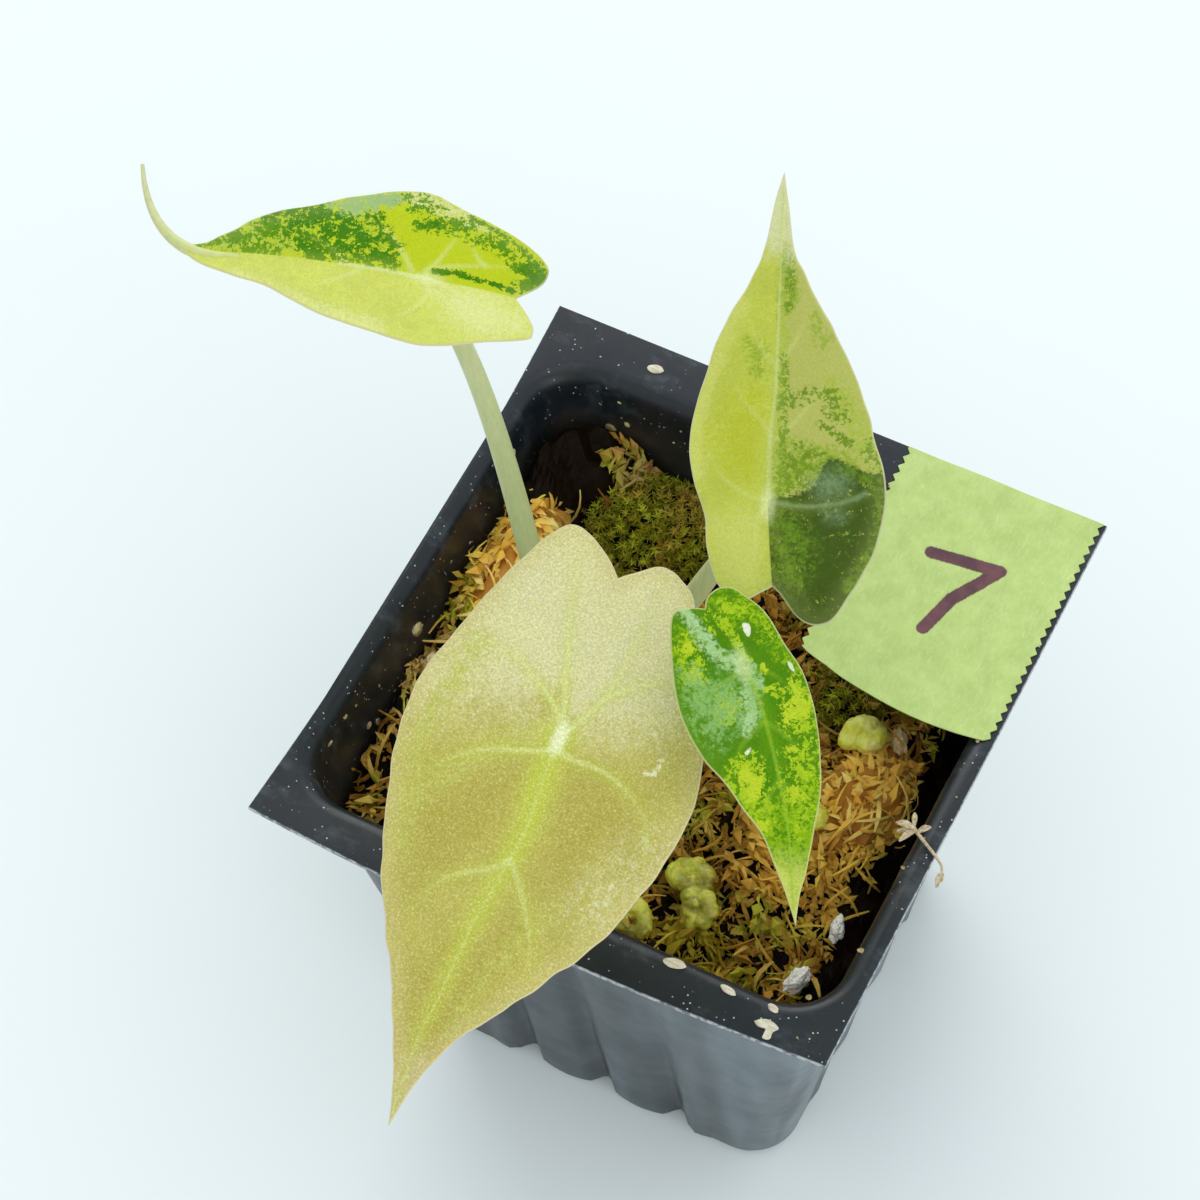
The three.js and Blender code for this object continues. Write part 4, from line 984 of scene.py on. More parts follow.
make_blade("back_left_leaf_blade", "leaf_back_left", {
    "cream": [
        ("area", [(-2.1, -1.4), (-1.3, -4.1), (-1.5, -7), (-3.2, -10.6), (-5, -12), (-6.4, -10.5),
            (-7, -7.1), (-5.9, -4.2)], 2.0, 0.9),
        ("band", [(-7.6, 4), (-5.6, 11), (-3, 19)], 1.4, 0.7)],
    "lime": [
        ("area", [(-1, 26), (-1, 8), (-1, -2), (-2, -9), (-1, -14), (3.6, -14), (9, -6), (11.5, -1),
            (11.5, 3), (9.2, 9), (6, 16), (3, 22)], 0.5, 1.0)],
    "dull": [
        ("area", [(5.5, 17.5), (6.5, 13), (3, 13), (0.3, 15), (0.2, 25), (2, 23)], 1.2, 0.8)],
    "far_cream": [
        ("area", [(9.2, 5), (10.6, 1), (9.4, -3), (7.1, -6.6), (6.6, -4.1), (7.4, -1.5), (8.5, 1.2)], 0.9,
            0.85)],
    "green": [
        ("area", [(4.6, 18.4), (5.6, 15.6), (3.9, 13.8), (2.4, 12.6), (1.8, 14.6), (2.2, 17), (3.2, 18.4)],
            0.8, 0.62),
        ("area", [(0.5, 24.6), (2.4, 21.6), (3.2, 18.6), (1.8, 17.2), (1.9, 15.6), (0.6, 15.2),
            (0.3, 19.6)], 0.6, 0.86),
        ("area", [(8.7, 4.3), (9.9, 2), (9.5, -0.3), (8.5, -1.6), (6.8, 0.4), (7.7, 2.9)], 0.9, 0.5),
        ("area", [(5.3, 1.8), (6.8, 0.9), (7.4, -1.3), (7.6, -3.7), (6.2, -4.5), (5.2, -2.9), (5.2, -0.9)],
            0.6, 0.85),
        ("area", [(7.6, -3.5), (6.6, -6), (5.3, -9), (3.8, -10.8), (3.0, -9.2), (3.8, -6.8), (4.5, -4.5),
            (5.4, -2.9)], 0.9, 0.6),
        ("area", [(2.4, -8.6), (3.6, -10.7), (2.9, -13), (2, -13.6), (0.4, -12.8), (-0.4, -10.8),
            (0.5, -9.4), (1.4, -10.6)], 0.5, 0.92),
        ("band", [(7.9, -4.1), (6.3, -7.1), (4.7, -9.6), (3.1, -12.1)], 0.34, 0.85),
        ("band", [(8.6, 12), (7, 16), (5, 19), (2.5, 22.5)], 0.35, 0.75)],
    "dark": [
        ("area", [(5.4, 17.2), (7.2, 15.6), (8.2, 12.6), (7.9, 10.4), (6.9, 9.6), (6.4, 7.8), (7.1, 5.6),
            (6, 4.4), (4.1, 3.3), (3.2, 2.3), (1.8, 2.8), (0.2, 2.2), (0.1, 4.7), (0.1, 7), (0.1, 9.3),
            (0.2, 12.2), (1.9, 13.5), (2.9, 13.6), (3.7, 15.5), (4.3, 16.7)], 0.8, 0.84),
        ("area", [(2, -9.6), (3.2, -10.7), (2.7, -12.4), (2, -12.9), (0.5, -12.2), (0.4, -10.9),
            (1.4, -11.2)], 0.4, 0.85),
        ("area", [(5.6, 1.2), (6.4, 0.5), (6.9, -1.3), (6.2, -2), (5.5, -0.9)], 0.6, 0.66),
        ("band", [(0.4, -1.3), (0.6, -3.3), (0.2, -5.6), (0.0, -8), (-0.4, -9.9)], 0.36, 1.0)],
    "island": [
        ("spot", (4.8, 15.0), 0.75, 0.8),
        ("spot", (4.1, 11.6), 0.8, 0.8),
        ("spot", (5.2, 9.8), 0.7, 0.75),
        ("spot", (5.7, 7.1), 0.65, 0.75),
        ("spot", (4.8, 6.1), 0.95, 0.8),
        ("spot", (3.9, 13.4), 0.8, 0.75),
        ("spot", (1.2, 7.6), 0.5, 0.7),
        ("spot", (1.9, 6), 0.6, 0.7),
        ("spot", (3.2, 7.9), 0.6, 0.65),
        ("spot", (2.9, 4.4), 0.7, 0.7),
        ("spot", (2.2, 10.4), 0.5, 0.6)],
    # Where the painted silvery sheen lies.
    "painted_silver_sheen": [
        ("area", [(7.5, 10.6), (9.3, 8.8), (9.9, 5.9), (9.6, 3.4), (8.1, 3.9), (7.3, 5.7), (6.5, 7.5),
            (6.7, 9.3)], 0.9, 0.85)],
}, lime_finish, "leaf_lime")

# %% [markdown]
# The small leaf is the youngest and greenest, splashed with lime, with a painted silvery
# reflection in an arc to the left of its midrib, where the surface catches the window, and a broad
# painted bluish sheen beside it. Three white chips of perlite lie on it.

# %% Small leaf
green_finish = leaf_finish(
    "bright_green_splashed_leaf", ground=(0.078, 0.232, 0.001), layers=[
        ("fresh", (0.235, 0.42, 0.003), 0.9, 0.35, 0),
        ("deep", (0.052, 0.205, 0.001), 0.8, 0.35, 0),
        ("speckle", (0.36, 0.52, 0.012), 1.15, 0.12, 0),
        ("splash", (0.46, 0.575, 0.022), 0.6, 0.09, 0),
        # haze and arc are painted reflections: a bluish sheen and a silvery arc.
        ("haze", (0.235, 0.43, 0.115), 0.55, 0.5, 0),
        ("arc", (0.38, 0.57, 0.26), 0.5, 0.35, 0),
        ("tip", (0.55, 0.60, 0.12), 0.2, 0.5, 0),
        ("chip", (0.72, 0.76, 0.56), 0.3, 0.25, 0)],
    glow=(0.17, 0.38, 0.004), vein=(0.30, 0.48, 0.03), rim=(0.56, 0.57, 0.24),
    fringe=(0.20, 0.38, 0.01), vein_part=0.4, glow_part=0.35, grain=0.12, veins_after=3)
make_blade("small_leaf_blade", "leaf_small", {
    "fresh": [
        ("area", [(2, 12), (-1.5, 14.4), (-6, 11), (-5, 17), (-2, 23), (1, 22), (3.5, 16)], 2.2, 0.7),
        ("area", [(6.8, -3), (5.2, -5), (4, -3.4), (4.8, -0.5), (6.6, 1)], 1.0, 0.6),
        ("area", [(1.4, -8), (-3, -6), (-6, 0), (-4.6, 1), (-2, -3), (0.8, -5)], 1.3, 0.6),
        ("band", [(4.6, 12), (3.4, 16), (2.2, 20)], 0.9, 0.6)],
    "deep": [
        ("area", [(-0.8, 4.9), (-1.1, 6.8), (-1.4, 8.7), (-0.5, 10.9), (0.6, 13), (-0.5, 13.6), (-2, 13),
            (-1.4, 11), (-1.5, 8.3), (-1.3, 5.9)], 0.8, 0.9),
        ("area", [(-1.6, 1.1), (-4.2, 1.9), (-4, 3.7), (-3.2, 4.5), (-1.4, 4.1)], 1.0, 0.72),
        ("area", [(4.7, -4.8), (3.4, -2.2), (2.6, -0.4), (4.2, -0.2), (5.8, -1.4)], 1.0, 0.7),
        ("area", [(3.2, -0.4), (0.8, 0.6), (1.4, 2.6), (3.8, 3.4)], 1.0, 0.6)],
    "speckle": [
        ("area", [(-2.1, 9.4), (-5.8, 8.2), (-5.4, 12.7), (-3.8, 16.5), (-1.9, 17.8), (-1.5, 14.3)], 1.2,
            0.52),
        ("area", [(3.6, 9.6), (0.4, 9.2), (-0.4, 14), (1, 17), (3.6, 13.4)], 1.0, 0.52),
        ("area", [(5.9, -3.8), (4.4, -3.6), (3.9, 1.8), (5.9, 1.6)], 0.9, 0.5),
        ("area", [(-2.4, 3), (-6.2, 2), (-6.4, 8), (-3, 8)], 1.0, 0.45),
        ("band", [(1.6, -6.4), (-2, -5.4), (-4.2, -2.4)], 0.9, 0.45),
        ("band", [(1.3, -5.4), (0.8, -4.1), (0.2, -2.8), (-0.2, -1.2), (-0.8, 0.4)], 0.5, 0.78),
        ("band", [(2.7, -5.4), (2.3, -3.6)], 0.35, 0.7),
        ("area", [(3.4, 2.9), (1.4, 2.6), (0.9, 4), (2.4, 5.6), (3.4, 5.2)], 0.7, 0.66)],
    "splash": [
        ("area", [(5.7, -3.3), (4.7, -3.3), (4.2, -2.5), (5.1, -1.8), (5.9, -2.4)], 0.5, 0.62),
        ("area", [(5.7, 0), (4.8, -0.5), (4.2, 0), (4.2, 1.4), (4.8, 0.9), (5.6, 0.8)], 0.35, 0.8),
        ("area", [(2.8, 3.6), (1.6, 3.1), (1.1, 3.6), (2.3, 5), (2.9, 4.9)], 0.4, 0.6),
        ("area", [(-2, 0.2), (-2.5, 0.4), (-2.5, 1.1), (-2.1, 1.4), (-1.8, 0.8)], 0.25, 0.9),
        ("band", [(-1.6, 3), (-2.6, 2.9), (-3.6, 3.4)], 0.25, 0.8),
        ("area", [(-4.8, 2), (-4.9, 2.9), (-5.6, 4), (-6.2, 5), (-5.5, 6.3), (-4.4, 6.5), (-3.7, 6.4),
            (-3.1, 7), (-2.6, 6.7), (-3, 5.6), (-3.6, 4.5), (-4.2, 4), (-4.4, 2.6)], 0.4, 0.84),
        ("area", [(-2.8, 8.8), (-3.5, 8.8), (-3.6, 9.6), (-2.9, 9.7)], 0.3, 0.8),
        ("area", [(2.1, 10.1), (1.2, 10.1), (0.9, 11.1), (0, 10.8), (0.6, 13), (1.7, 13.7), (2.5, 13.1),
            (2.7, 11.7)], 0.45, 0.82),
        ("area", [(1.6, 15.5), (0.5, 15.6), (0.7, 16.6), (1.3, 16.7)], 0.3, 0.9),
        ("area", [(-1.6, 12.2), (-2.9, 12.9), (-4, 13.1), (-3.5, 14.2), (-2.5, 14.7), (-1.8, 13.6)], 0.5,
            0.74)],
    # Where the painted bluish sheen lies.
    "haze": [
        ("area", [(6.7, -0.9), (6.4, 1.8), (6, 4.2), (5.4, 6.3), (4.4, 8), (2.1, 6.7), (0.3, 5.6),
            (0.6, 2.8), (1.6, 1), (3.4, 0.4), (5, -0.6)], 1.5, 0.66)],
    # Where the painted silvery reflection lies.
    "arc": [
        ("band", [(4.7, -6.6), (3.9, -5), (3.2, -3.1), (2.1, -1.2), (0.6, -0.4), (-0.6, 0.7), (-0.9, 2.2),
            (-0.3, 3.4), (-0.3, 5.1), (0.6, 6.5)], 0.85, 0.82),
        ("area", [(-0.6, 1), (-1, 2.4), (-0.5, 5.2), (0.8, 6.8), (1.4, 6), (0.8, 4), (0.4, 1.4)], 0.5,
            0.72)],
    "tip": [
        ("area", [(-3, 21.5), (-0.6, 20.2), (2, 21.5), (1, 29), (-1, 29)], 2.5, 1.0)],
    "chip": [
        ("area", [(-0.8, -4.1), (-1.4, -4.1), (-1.6, -3.4), (-1.3, -2.7), (-1, -3.1)], 0.12, 1.0),
        ("area", [(-4.5, 0.6), (-4.9, 0.8), (-5.1, 1.6), (-4.9, 1.8), (-4.6, 1.2)], 0.12, 1.0),
        ("area", [(1.5, 8.8), (0.9, 8.4), (0.7, 8.5), (1.2, 9)], 0.12, 1.0)],
}, green_finish, "leaf_green")

# %% [markdown]
# The back right leaf is yellow-green on its left half. On its right half the lobe is solid dark
# green up to the side vein, and above it the green dissolves into flecks on a buff ground. The
# split along the midrib is as sharp as a cut. Brighter green on the lobe beside the midrib and
# along its edge is painted light, and pale silvery patches by the side vein are a painted sheen.

# %% Back right leaf
buff_finish = leaf_finish(
    "buff_and_dark_green_leaf", ground=(0.475, 0.53, 0.070), layers=[
        ("pale", (0.53, 0.565, 0.125), 0.3, 0.5, 0),
        ("centre", (0.42, 0.46, 0.030), 0.4, 0.5, -1),
        ("buff", (0.42, 0.44, 0.105), 0.4, 0.3, 1),
        ("lime", (0.35, 0.44, 0.045), 0.8, 0.4, 1),
        ("soft", (0.27, 0.37, 0.030), 0.8, 0.5, 0),
        ("flecks", (0.150, 0.255, 0.012), 0.95, 0.2, 1),
        ("dark", (0.047, 0.086, 0.006), 0.5, 0.26, 1),
        # lit is painted light, a brighter green where light falls; the silvery layer below is a painted
        # sheen.
        ("lit", (0.125, 0.235, 0.010), 0.5, 0.5, 1),
        ("painted_silver_sheen", (0.18, 0.27, 0.13), 0.2, 0.6, 1),
        ("tip", (0.60, 0.62, 0.34), 0.3, 0.5, 0)],
    glow=(0.50, 0.58, 0.11), vein=(0.58, 0.65, 0.24), rim=(0.58, 0.56, 0.34),
    fringe=(0.50, 0.53, 0.18), vein_part=0.32, glow_part=0.3, veins_after=5)
make_blade("back_right_leaf_blade", "leaf_back_right", {
    "pale": [
        ("area", [(-6.1, -1.6), (-3.3, -0.7), (-0.5, -1.4), (0, -5.9), (-1.4, -9.2), (-4, -8.8)], 2.0, 0.9),
        ("band", [(-7.6, 3), (-7.8, 9), (-6, 16), (-4, 22)], 1.2, 0.8)],
    "centre": [
        ("area", [(-5.6, 9.8), (-2.2, 13), (-0.2, 9.5), (-0.4, 3), (-4.1, 2.5), (-5.9, 6)], 2.2, 0.8)],
    "buff": [
        ("area", [(-1, -1), (-1, 14), (-1, 28), (3.4, 26), (6.4, 20), (9.6, 12), (13, 5), (6, 1)], 1.0,
            1.0)],
    "lime": [
        ("area", [(6, 13.4), (8.6, 12), (11.4, 6), (12.4, 3), (9.8, 5), (7.4, 9.6)], 1.2, 0.7),
        ("band", [(0.7, 30), (0.8, 20), (0.9, 10), (0.8, 2)], 0.8, 0.6)],
    "soft": [
        ("area", [(0.2, 30.6), (0.9, 28.5), (2.1, 24.6), (2.3, 23.2), (1.5, 21.4), (0.5, 20.4),
            (0.2, 23.8)], 0.6, 0.8),
        ("area", [(3.7, 21.4), (4.8, 19.9), (5.9, 17.7), (4.8, 17), (4, 19)], 0.8, 0.66),
        ("area", [(-3, 18.2), (-1.3, 18), (-0.5, 16), (-1.2, 13.8), (-2.8, 15.4)], 1.0, 0.66),
        ("area", [(0.3, 7.6), (4.9, 6.2), (8.6, 5.4), (9, 4), (5.4, 2.6), (1.3, 1), (0.3, 1)], 1.0, 0.74)],
    "flecks": [
        ("area", [(1.4, 10.7), (1, 11.5), (1.7, 12.2), (4.2, 12.7), (7, 12.5), (6.9, 11.7), (4.6, 11.3),
            (2.7, 10.6)], 0.6, 0.68),
        ("area", [(5.4, 10.8), (6.9, 11.5), (8.1, 10.3), (7.9, 8.9), (6.6, 9), (5.6, 9.8)], 0.7, 0.72),
        ("band", [(5.2, 8.4), (6.8, 7.4), (8.4, 6.1)], 0.5, 0.78),
        ("area", [(1, 5.2), (2.5, 6.4), (4.8, 5.6), (6.3, 4.5), (5.2, 2.4), (3, 1.4), (0.6, 1.2),
            (0.6, 3.5)], 1.0, 0.6),
        ("area", [(9.4, 6.1), (10.5, 6.8), (11.7, 5), (11.9, 3.4), (10.2, 4.2)], 0.6, 0.66),
        ("band", [(0.9, 29), (1.3, 25), (1.1, 21.6)], 0.6, 0.62),
        ("band", [(0.9, 16.1), (1.1, 14.1), (1, 10.7), (1.4, 8), (1.0, 5.3)], 0.55, 0.76)],
    "dark": [
        ("area", [(-1, 0.3), (1.3, 0.6), (2.9, 1.1), (4.9, 1.9), (5.6, 3.8), (6.3, 4.7), (7.6, 4.4),
            (8.8, 3.6), (10.7, 3), (14, 3), (14.6, -2), (13, -7.3), (10.8, -11), (7.4, -14.6), (3.6, -15),
            (0.8, -12.2), (-1, -8.8), (-1, -4)], 0.45, 1.0)],
    # Where the painted light lies.
    "lit": [
        ("area", [(0, -0.2), (2.2, -0.6), (3.9, -2.7), (4.9, -5.9), (3.3, -9), (1.5, -8.6), (0, -5.2)], 1.8,
            0.62),
        ("band", [(11.6, 2), (11.2, -4), (8.6, -9)], 0.8, 0.5),
        ("band", [(7.5, 3.6), (10.5, 2.4)], 0.8, 0.55)],
    # Where the painted silvery sheen lies.
    "painted_silver_sheen": [
        ("area", [(4.2, 2.2), (6.2, 3.6), (8.2, 2.4), (7.8, 0.8), (5.5, 0.3)], 1.3, 0.7),
        ("band", [(0.6, 0.1), (4.1, -0.5), (8.2, 0), (10.2, 0.9)], 0.3, 0.72),
        ("area", [(5.5, -0.8), (8.4, -1.1), (7.8, -2.2), (6.2, -2)], 0.8, 0.6)],
    "tip": [
        ("area", [(-3.5, 30.5), (0, 28.5), (3.5, 29.5), (1.5, 42), (-1.5, 42)], 2.5, 1.0)],
}, buff_finish, "leaf_pale")

# %% [markdown]
# ## The stalks
# A stalk is a tube that thins along a curve, and so are the long tail of the back left leaf and
# the stem of the dry wisp. Geometry Nodes suit this: one tree takes a chain of points as a curve
# and sweeps a circle along it, thinning by the curve's own parameter. A tube may also open from a
# narrow start, which lets the tail grow out of the blade.

# %% A tree that sweeps a tapering tube
class Tree:
    """A geometry tree with named inputs, and short ways to the nodes it uses most."""

    def __init__(self, name, **inputs):
        self.tree = bpy.data.node_groups.new(name, "GeometryNodeTree")
        sockets = self.tree.interface
        for way in ("INPUT", "OUTPUT"):
            sockets.new_socket("Geometry", in_out=way, socket_type="NodeSocketGeometry")
        for key, kind in inputs.items():
            sockets.new_socket(key.replace("_", " "), in_out="INPUT", socket_type="NodeSocket" + kind)
        self.given = self.tree.nodes.new("NodeGroupInput").outputs

    def add(self, kind, inputs, **settings):
        return add_node(self.tree, "GeometryNode" + kind, inputs, **settings)

    def times(self, a, b):
        return add_node(self.tree, "ShaderNodeMath", {0: a, 1: b}, operation="MULTIPLY").outputs[0]

    def ramp(self, inputs, **settings):
        return add_node(self.tree, "ShaderNodeMapRange", inputs, **settings).outputs[0]

    def vector(self, **parts):
        return add_node(self.tree, "ShaderNodeCombineXYZ", parts).outputs[0]

    def chance(self, low, high, seed, kind="FLOAT"):
        """A random number, whole number or vector between two limits."""
        node = add_node(self.tree, "FunctionNodeRandomValue", {"Min": low, "Max": high, "Seed": seed},
                        data_type=kind)
        return socket(node.outputs, "Value")

    def turn(self, rotation, by):
        return add_node(self.tree, "FunctionNodeRotateRotation", {
            "Rotation": rotation, "Rotate By": by}, rotation_space="LOCAL").outputs[0]

    def stored(self, name):
        return self.add("InputNamedAttribute", {"Name": name}).outputs["Attribute"]

    def store(self, geometry, name, value, domain):
        return self.add("StoreNamedAttribute", {"Geometry": geometry, "Name": name, "Value": value},
                        domain=domain).outputs[0]

    def marked_curve(self):
        """The given chain as a curve, and how far along it each point is, from 0 to 1."""
        curve = self.add("MeshToCurve", {"Mesh": self.given["Geometry"]}).outputs[0]
        return curve, self.add("SplineParameter", {}).outputs["Factor"]

    def finish(self, geometry):
        """Makes instances real, gives them the material and ends the tree."""
        real = self.add("RealizeInstances", {"Geometry": geometry})
        done = self.add("SetMaterial", {"Geometry": real.outputs[0],
                                        "Material": self.given["Finish"]})
        self.tree.links.new(done.outputs[0], self.tree.nodes.new("NodeGroupOutput").inputs[0])
        return self.tree


def tube_tree():
    tree = Tree("tapering_tube", Start_radius="Float", End_radius="Float", Sides="Int", Steps="Int",
                Opening="Float", Finish="Material")
    given = tree.given
    curve, along = tree.marked_curve()
    curve = tree.add("ResampleCurve", {"Curve": curve, "Count": given["Steps"]})
    radius = tree.ramp({"Value": along, "To Min": given["Start radius"], "To Max": given["End radius"]})
    opened = tree.ramp({"Value": along, "From Max": given["Opening"], "To Min": 0.22},
                       interpolation_type="SMOOTHSTEP")
    marked = tree.store(curve.outputs[0], "along", along, "POINT")
    circle = tree.add("CurvePrimitiveCircle", {"Resolution": given["Sides"], "Radius": 1.0})
    tube = tree.add("CurveToMesh", {"Curve": marked, "Profile Curve": circle.outputs[0],
                                    "Scale": tree.times(radius, opened), "Fill Caps": True})
    return tree.finish(tube.outputs[0])


def run_tree(piece, tree, **values):
    """Runs a tree on a piece with inputs given by name, and keeps the plain mesh."""
    modifier = piece.modifiers.new(tree.name, "NODES")
    modifier.node_group = tree
    identifiers = {item.name: item.identifier for item in tree.interface.items_tree
                   if item.in_out == "INPUT"}
    for name, value in values.items():
        modifier[identifiers[name.replace("_", " ")]] = value
    return freeze(piece)


def tube(name, line, start, end, material, sides=20, steps=48, opening=0.001):
    """A tapering tube along points in mm; it opens from a narrow start over a share of its run."""
    edges = [(i, i + 1) for i in range(len(line) - 1)]
    piece = plain_object(name, line, [], edges=edges)
    run_tree(piece, TUBE, Start_radius=start * MM, End_radius=end * MM, Sides=sides, Steps=steps,
             Opening=opening, Finish=material)
    crease(piece.data, 60)
    return piece


TUBE = tube_tree()
print("tube tree nodes:", len(TUBE.nodes))

# %% [markdown]
# The stalks are pale, watery green, a little more yellow towards the blade, with faint lengthwise
# threads under a smooth skin. Light sinks into them, so they get more scatter than the blades.

# %% Stalk finish and the four stalks
stalk_finish = Finish("pale_watery_stalk", 0.4)
along = stalk_finish.stored("along")
threads = stalk_finish.noise(stalk_finish.place((2.6, 2.6, 0.10)), 1.0, 3, 0.6)
tone = stalk_finish.blend(along, (0.46, 0.53, 0.22), (0.58, 0.62, 0.34))
tone = stalk_finish.blend(stalk_finish.steps(threads, 0.35, 0.7, 0, 0.3), tone, (0.36, 0.44, 0.15))
stalk_finish.colour(stalk_finish.blend(stalk_finish.steps(along, 0.16, 0.0, 0, 0.6), tone,
                                       (0.34, 0.20, 0.13)))
stalk_finish.rough(stalk_finish.steps(threads, 0.2, 0.8, 0.34, 0.48))
stalk_finish.relief(threads, 0.03, 0.4)
stalk_finish.fixed(Subsurface_Weight=0.3, Subsurface_Scale=0.0012, Specular_IOR_Level=0.3)


def bezier(a, b, c, d, count=40):
    a, b, c, d = (np.array(p, float) for p in (a, b, c, d))
    t = np.linspace(0, 1, count)[:, None]
    return (1 - t) ** 3 * a + 3 * (1 - t) ** 2 * t * b + 3 * (1 - t) * t * t * c + t ** 3 * d


for node, leaf in LEAVES.items():
    end = np.array(leaf["junction"], float)
    line = bezier(*leaf["stalk"], end - 0.1 * (end - leaf["stalk"][2]) / 20)
    wide, narrow = leaf["stalk_radius"]
    stalk = tube(node.replace("leaf_", "") + "_stalk", line, wide, narrow, stalk_finish.material)
    dress(stalk, stalk_finish.material, {"leaf_front": "leaf_olive", "leaf_back_left": "leaf_lime",
                                         "leaf_small": "leaf_green"}.get(node, "leaf_pale"), node)

# %% [markdown]
# The back left blade narrows into a rolled tail that swings up and away. It starts inside the
# blade's tip, so the two read as one.

# %% The tail
def make_tail():
    leaf = LEAVES["leaf_back_left"]
    distances, places, _ = march(leaf)
    reach = np.arange(16.0, 37.01, 0.75)
    line = np.stack([np.interp(reach, distances, places[:, k]) for k in range(3)], -1)
    finish = Finish("rolled_pale_tail", 0.42)
    streak = finish.noise(finish.place((1, 1, 1)), 1.3, 4)
    tone = finish.blend(finish.stored("along"), (0.60, 0.67, 0.20), (0.55, 0.57, 0.34))
    finish.colour(finish.blend(finish.steps(streak, 0.4, 0.7, 0, 0.5), tone, (0.44, 0.50, 0.20)))
    finish.relief(streak, 0.03, 0.5)
    finish.fixed(Subsurface_Weight=0.25, Subsurface_Scale=0.001)
    tail = tube("back_left_leaf_tail", line, 1.0, 0.2, finish.material, sides=16, steps=60,
                opening=0.45)
    dress(tail, finish.material, "leaf_lime", "leaf_back_left")


make_tail()

# %% [markdown]
# ## The moss
# The pot is filled with old sphagnum. Its branches are soft ropes of small cupped leaves that lie
# over each other in every direction, with crumbs in the dark hollows between them. Two geometry
# trees make it. One scatters crumbs over a lumpy body; the other lays leaves along wandering
# lines. Each crumb or leaf has few faces, because thousands are made.

# %% Small shapes to repeat
stock = bpy.data.collections.new("crumb_stock")
leafstock = bpy.data.collections.new("leaf_stock")
for collection in (stock, leafstock):
    bpy.context.scene.collection.children.link(collection)


def into_stock(collection, piece):
    bpy.context.scene.collection.objects.unlink(piece)
    collection.objects.link(piece)
    return piece


def ribbon(name, length, width, arch, twist, steps=5):
    """A flat bent strand with pointed ends, lying along +X with its middle raised."""
    rows = []
    for i in range(steps + 1):
        t = i / steps
        half = width / 2 * math.sin(math.pi * (0.08 + 0.84 * t)) ** 0.7
        a = twist * (t - 0.5)
        z = arch * math.sin(math.pi * t) - 0.3
        y = 0.5 * math.sin(2.2 * t)
        rows.append([((t - 0.3) * length, y - half * math.cos(a), z - half * math.sin(a)),
                     ((t - 0.3) * length, y + half * math.cos(a), z + half * math.sin(a))])
    return into_stock(stock, plain_object(name, *slab(np.array(rows), 0.16)))


def moss_leaf(collection, name, length, width, lean, cup=0.28):
    """A cupped, pointed leaf, closed by eight faces: +Z runs along its stem, +Y away from it."""
    s, c = math.sin(lean), math.cos(lean)
    flat = [(0, 0, 0), (-width / 2, -0.1, 0.42), (0, -0.2, 1), (width / 2, -0.1, 0.42),
            (0, cup, 0.45), (0, cup - 0.2, 0.45)]
    points = [(x, y * c + z * length * s + 0.12, z * length * c - y * s) for x, y, z in flat]
    faces = [(0, 1, 4), (1, 2, 4), (2, 3, 4), (3, 0, 4), (1, 0, 5), (2, 1, 5), (3, 2, 5), (0, 3, 5)]
    return into_stock(collection, plain_object(name, np.array(points), faces))


ribbon("thin_strand", 4.5, 0.6, 1.0, 2.0)
ribbon("short_curl", 2.4, 1.0, 0.8, -1.5)
ribbon("long_thread", 6.5, 0.35, 1.6, 1.0)
moss_leaf(stock, "loose_leaf", 1.9, 1.0, 0.9)
moss_leaf(leafstock, "narrow_leaf", 1.7, 0.75, 0.42)
moss_leaf(leafstock, "wide_leaf", 1.4, 1.05, 0.62)

# %% [markdown]
# The scattering tree takes the surface to cover, the stock to choose from, a density per square
# metre, a seed, the size range and how far a crumb may lean. A number called "grow" on the
# surface says where anything grows at all.

# %% A tree that scatters moss
def pick_from(tree, points, rotation, scale, seed):
    """Places one of the stock's shapes on every point, chosen at random."""
    shapes = tree.add("CollectionInfo", {"Collection": tree.given["Stock"],
                                         "Separate Children": True, "Reset Children": True})
    return tree.add("InstanceOnPoints", {
        "Points": points, "Instance": shapes.outputs[0], "Pick Instance": True,
        "Instance Index": tree.chance(0, 11, seed, "INT"), "Rotation": rotation,
        "Scale": scale}).outputs[0]


def scatter_tree():
    tree = Tree("scattered_moss", Stock="Collection", Density="Float", Seed="Int", Smallest="Float",
                Largest="Float", Lean="Float", Finish="Material")
    given = tree.given
    chosen = add_node(tree.tree, "FunctionNodeCompare", {"A": tree.stored("grow"), "B": 0.5},
                      operation="GREATER_THAN")
    spread = tree.add("DistributePointsOnFaces", {
        "Mesh": given["Geometry"], "Selection": chosen.outputs[0], "Density": given["Density"],
        "Seed": given["Seed"]}).outputs
    lean, lean_back = given["Lean"], tree.times(given["Lean"], -1.0)
    leaning = tree.chance(tree.vector(X=lean_back, Y=lean_back, Z=-math.pi),
                          tree.vector(X=lean, Y=lean, Z=math.pi), 3, "FLOAT_VECTOR")
    placed = pick_from(tree, spread["Points"], tree.turn(spread["Rotation"], leaning),
                       tree.chance(given["Smallest"], given["Largest"], 5), 8)
    toned = tree.store(placed, "tone", tree.chance(0.3, 1.0, 12), "INSTANCE")
    joined = tree.add("JoinGeometry", {0: given["Geometry"]})
    tree.tree.links.new(toned, joined.inputs[0])
    return tree.finish(joined.outputs[0])


SCATTER = scatter_tree()
print("scatter tree nodes:", len(SCATTER.nodes))

# %% [markdown]
# The rope tree walks along each line and sets a leaf every so often, turned by 137 degrees from
# the one before, as leaves spiral on a real stem. They shrink towards the rope's end, and every
# line brings a tone of its own.

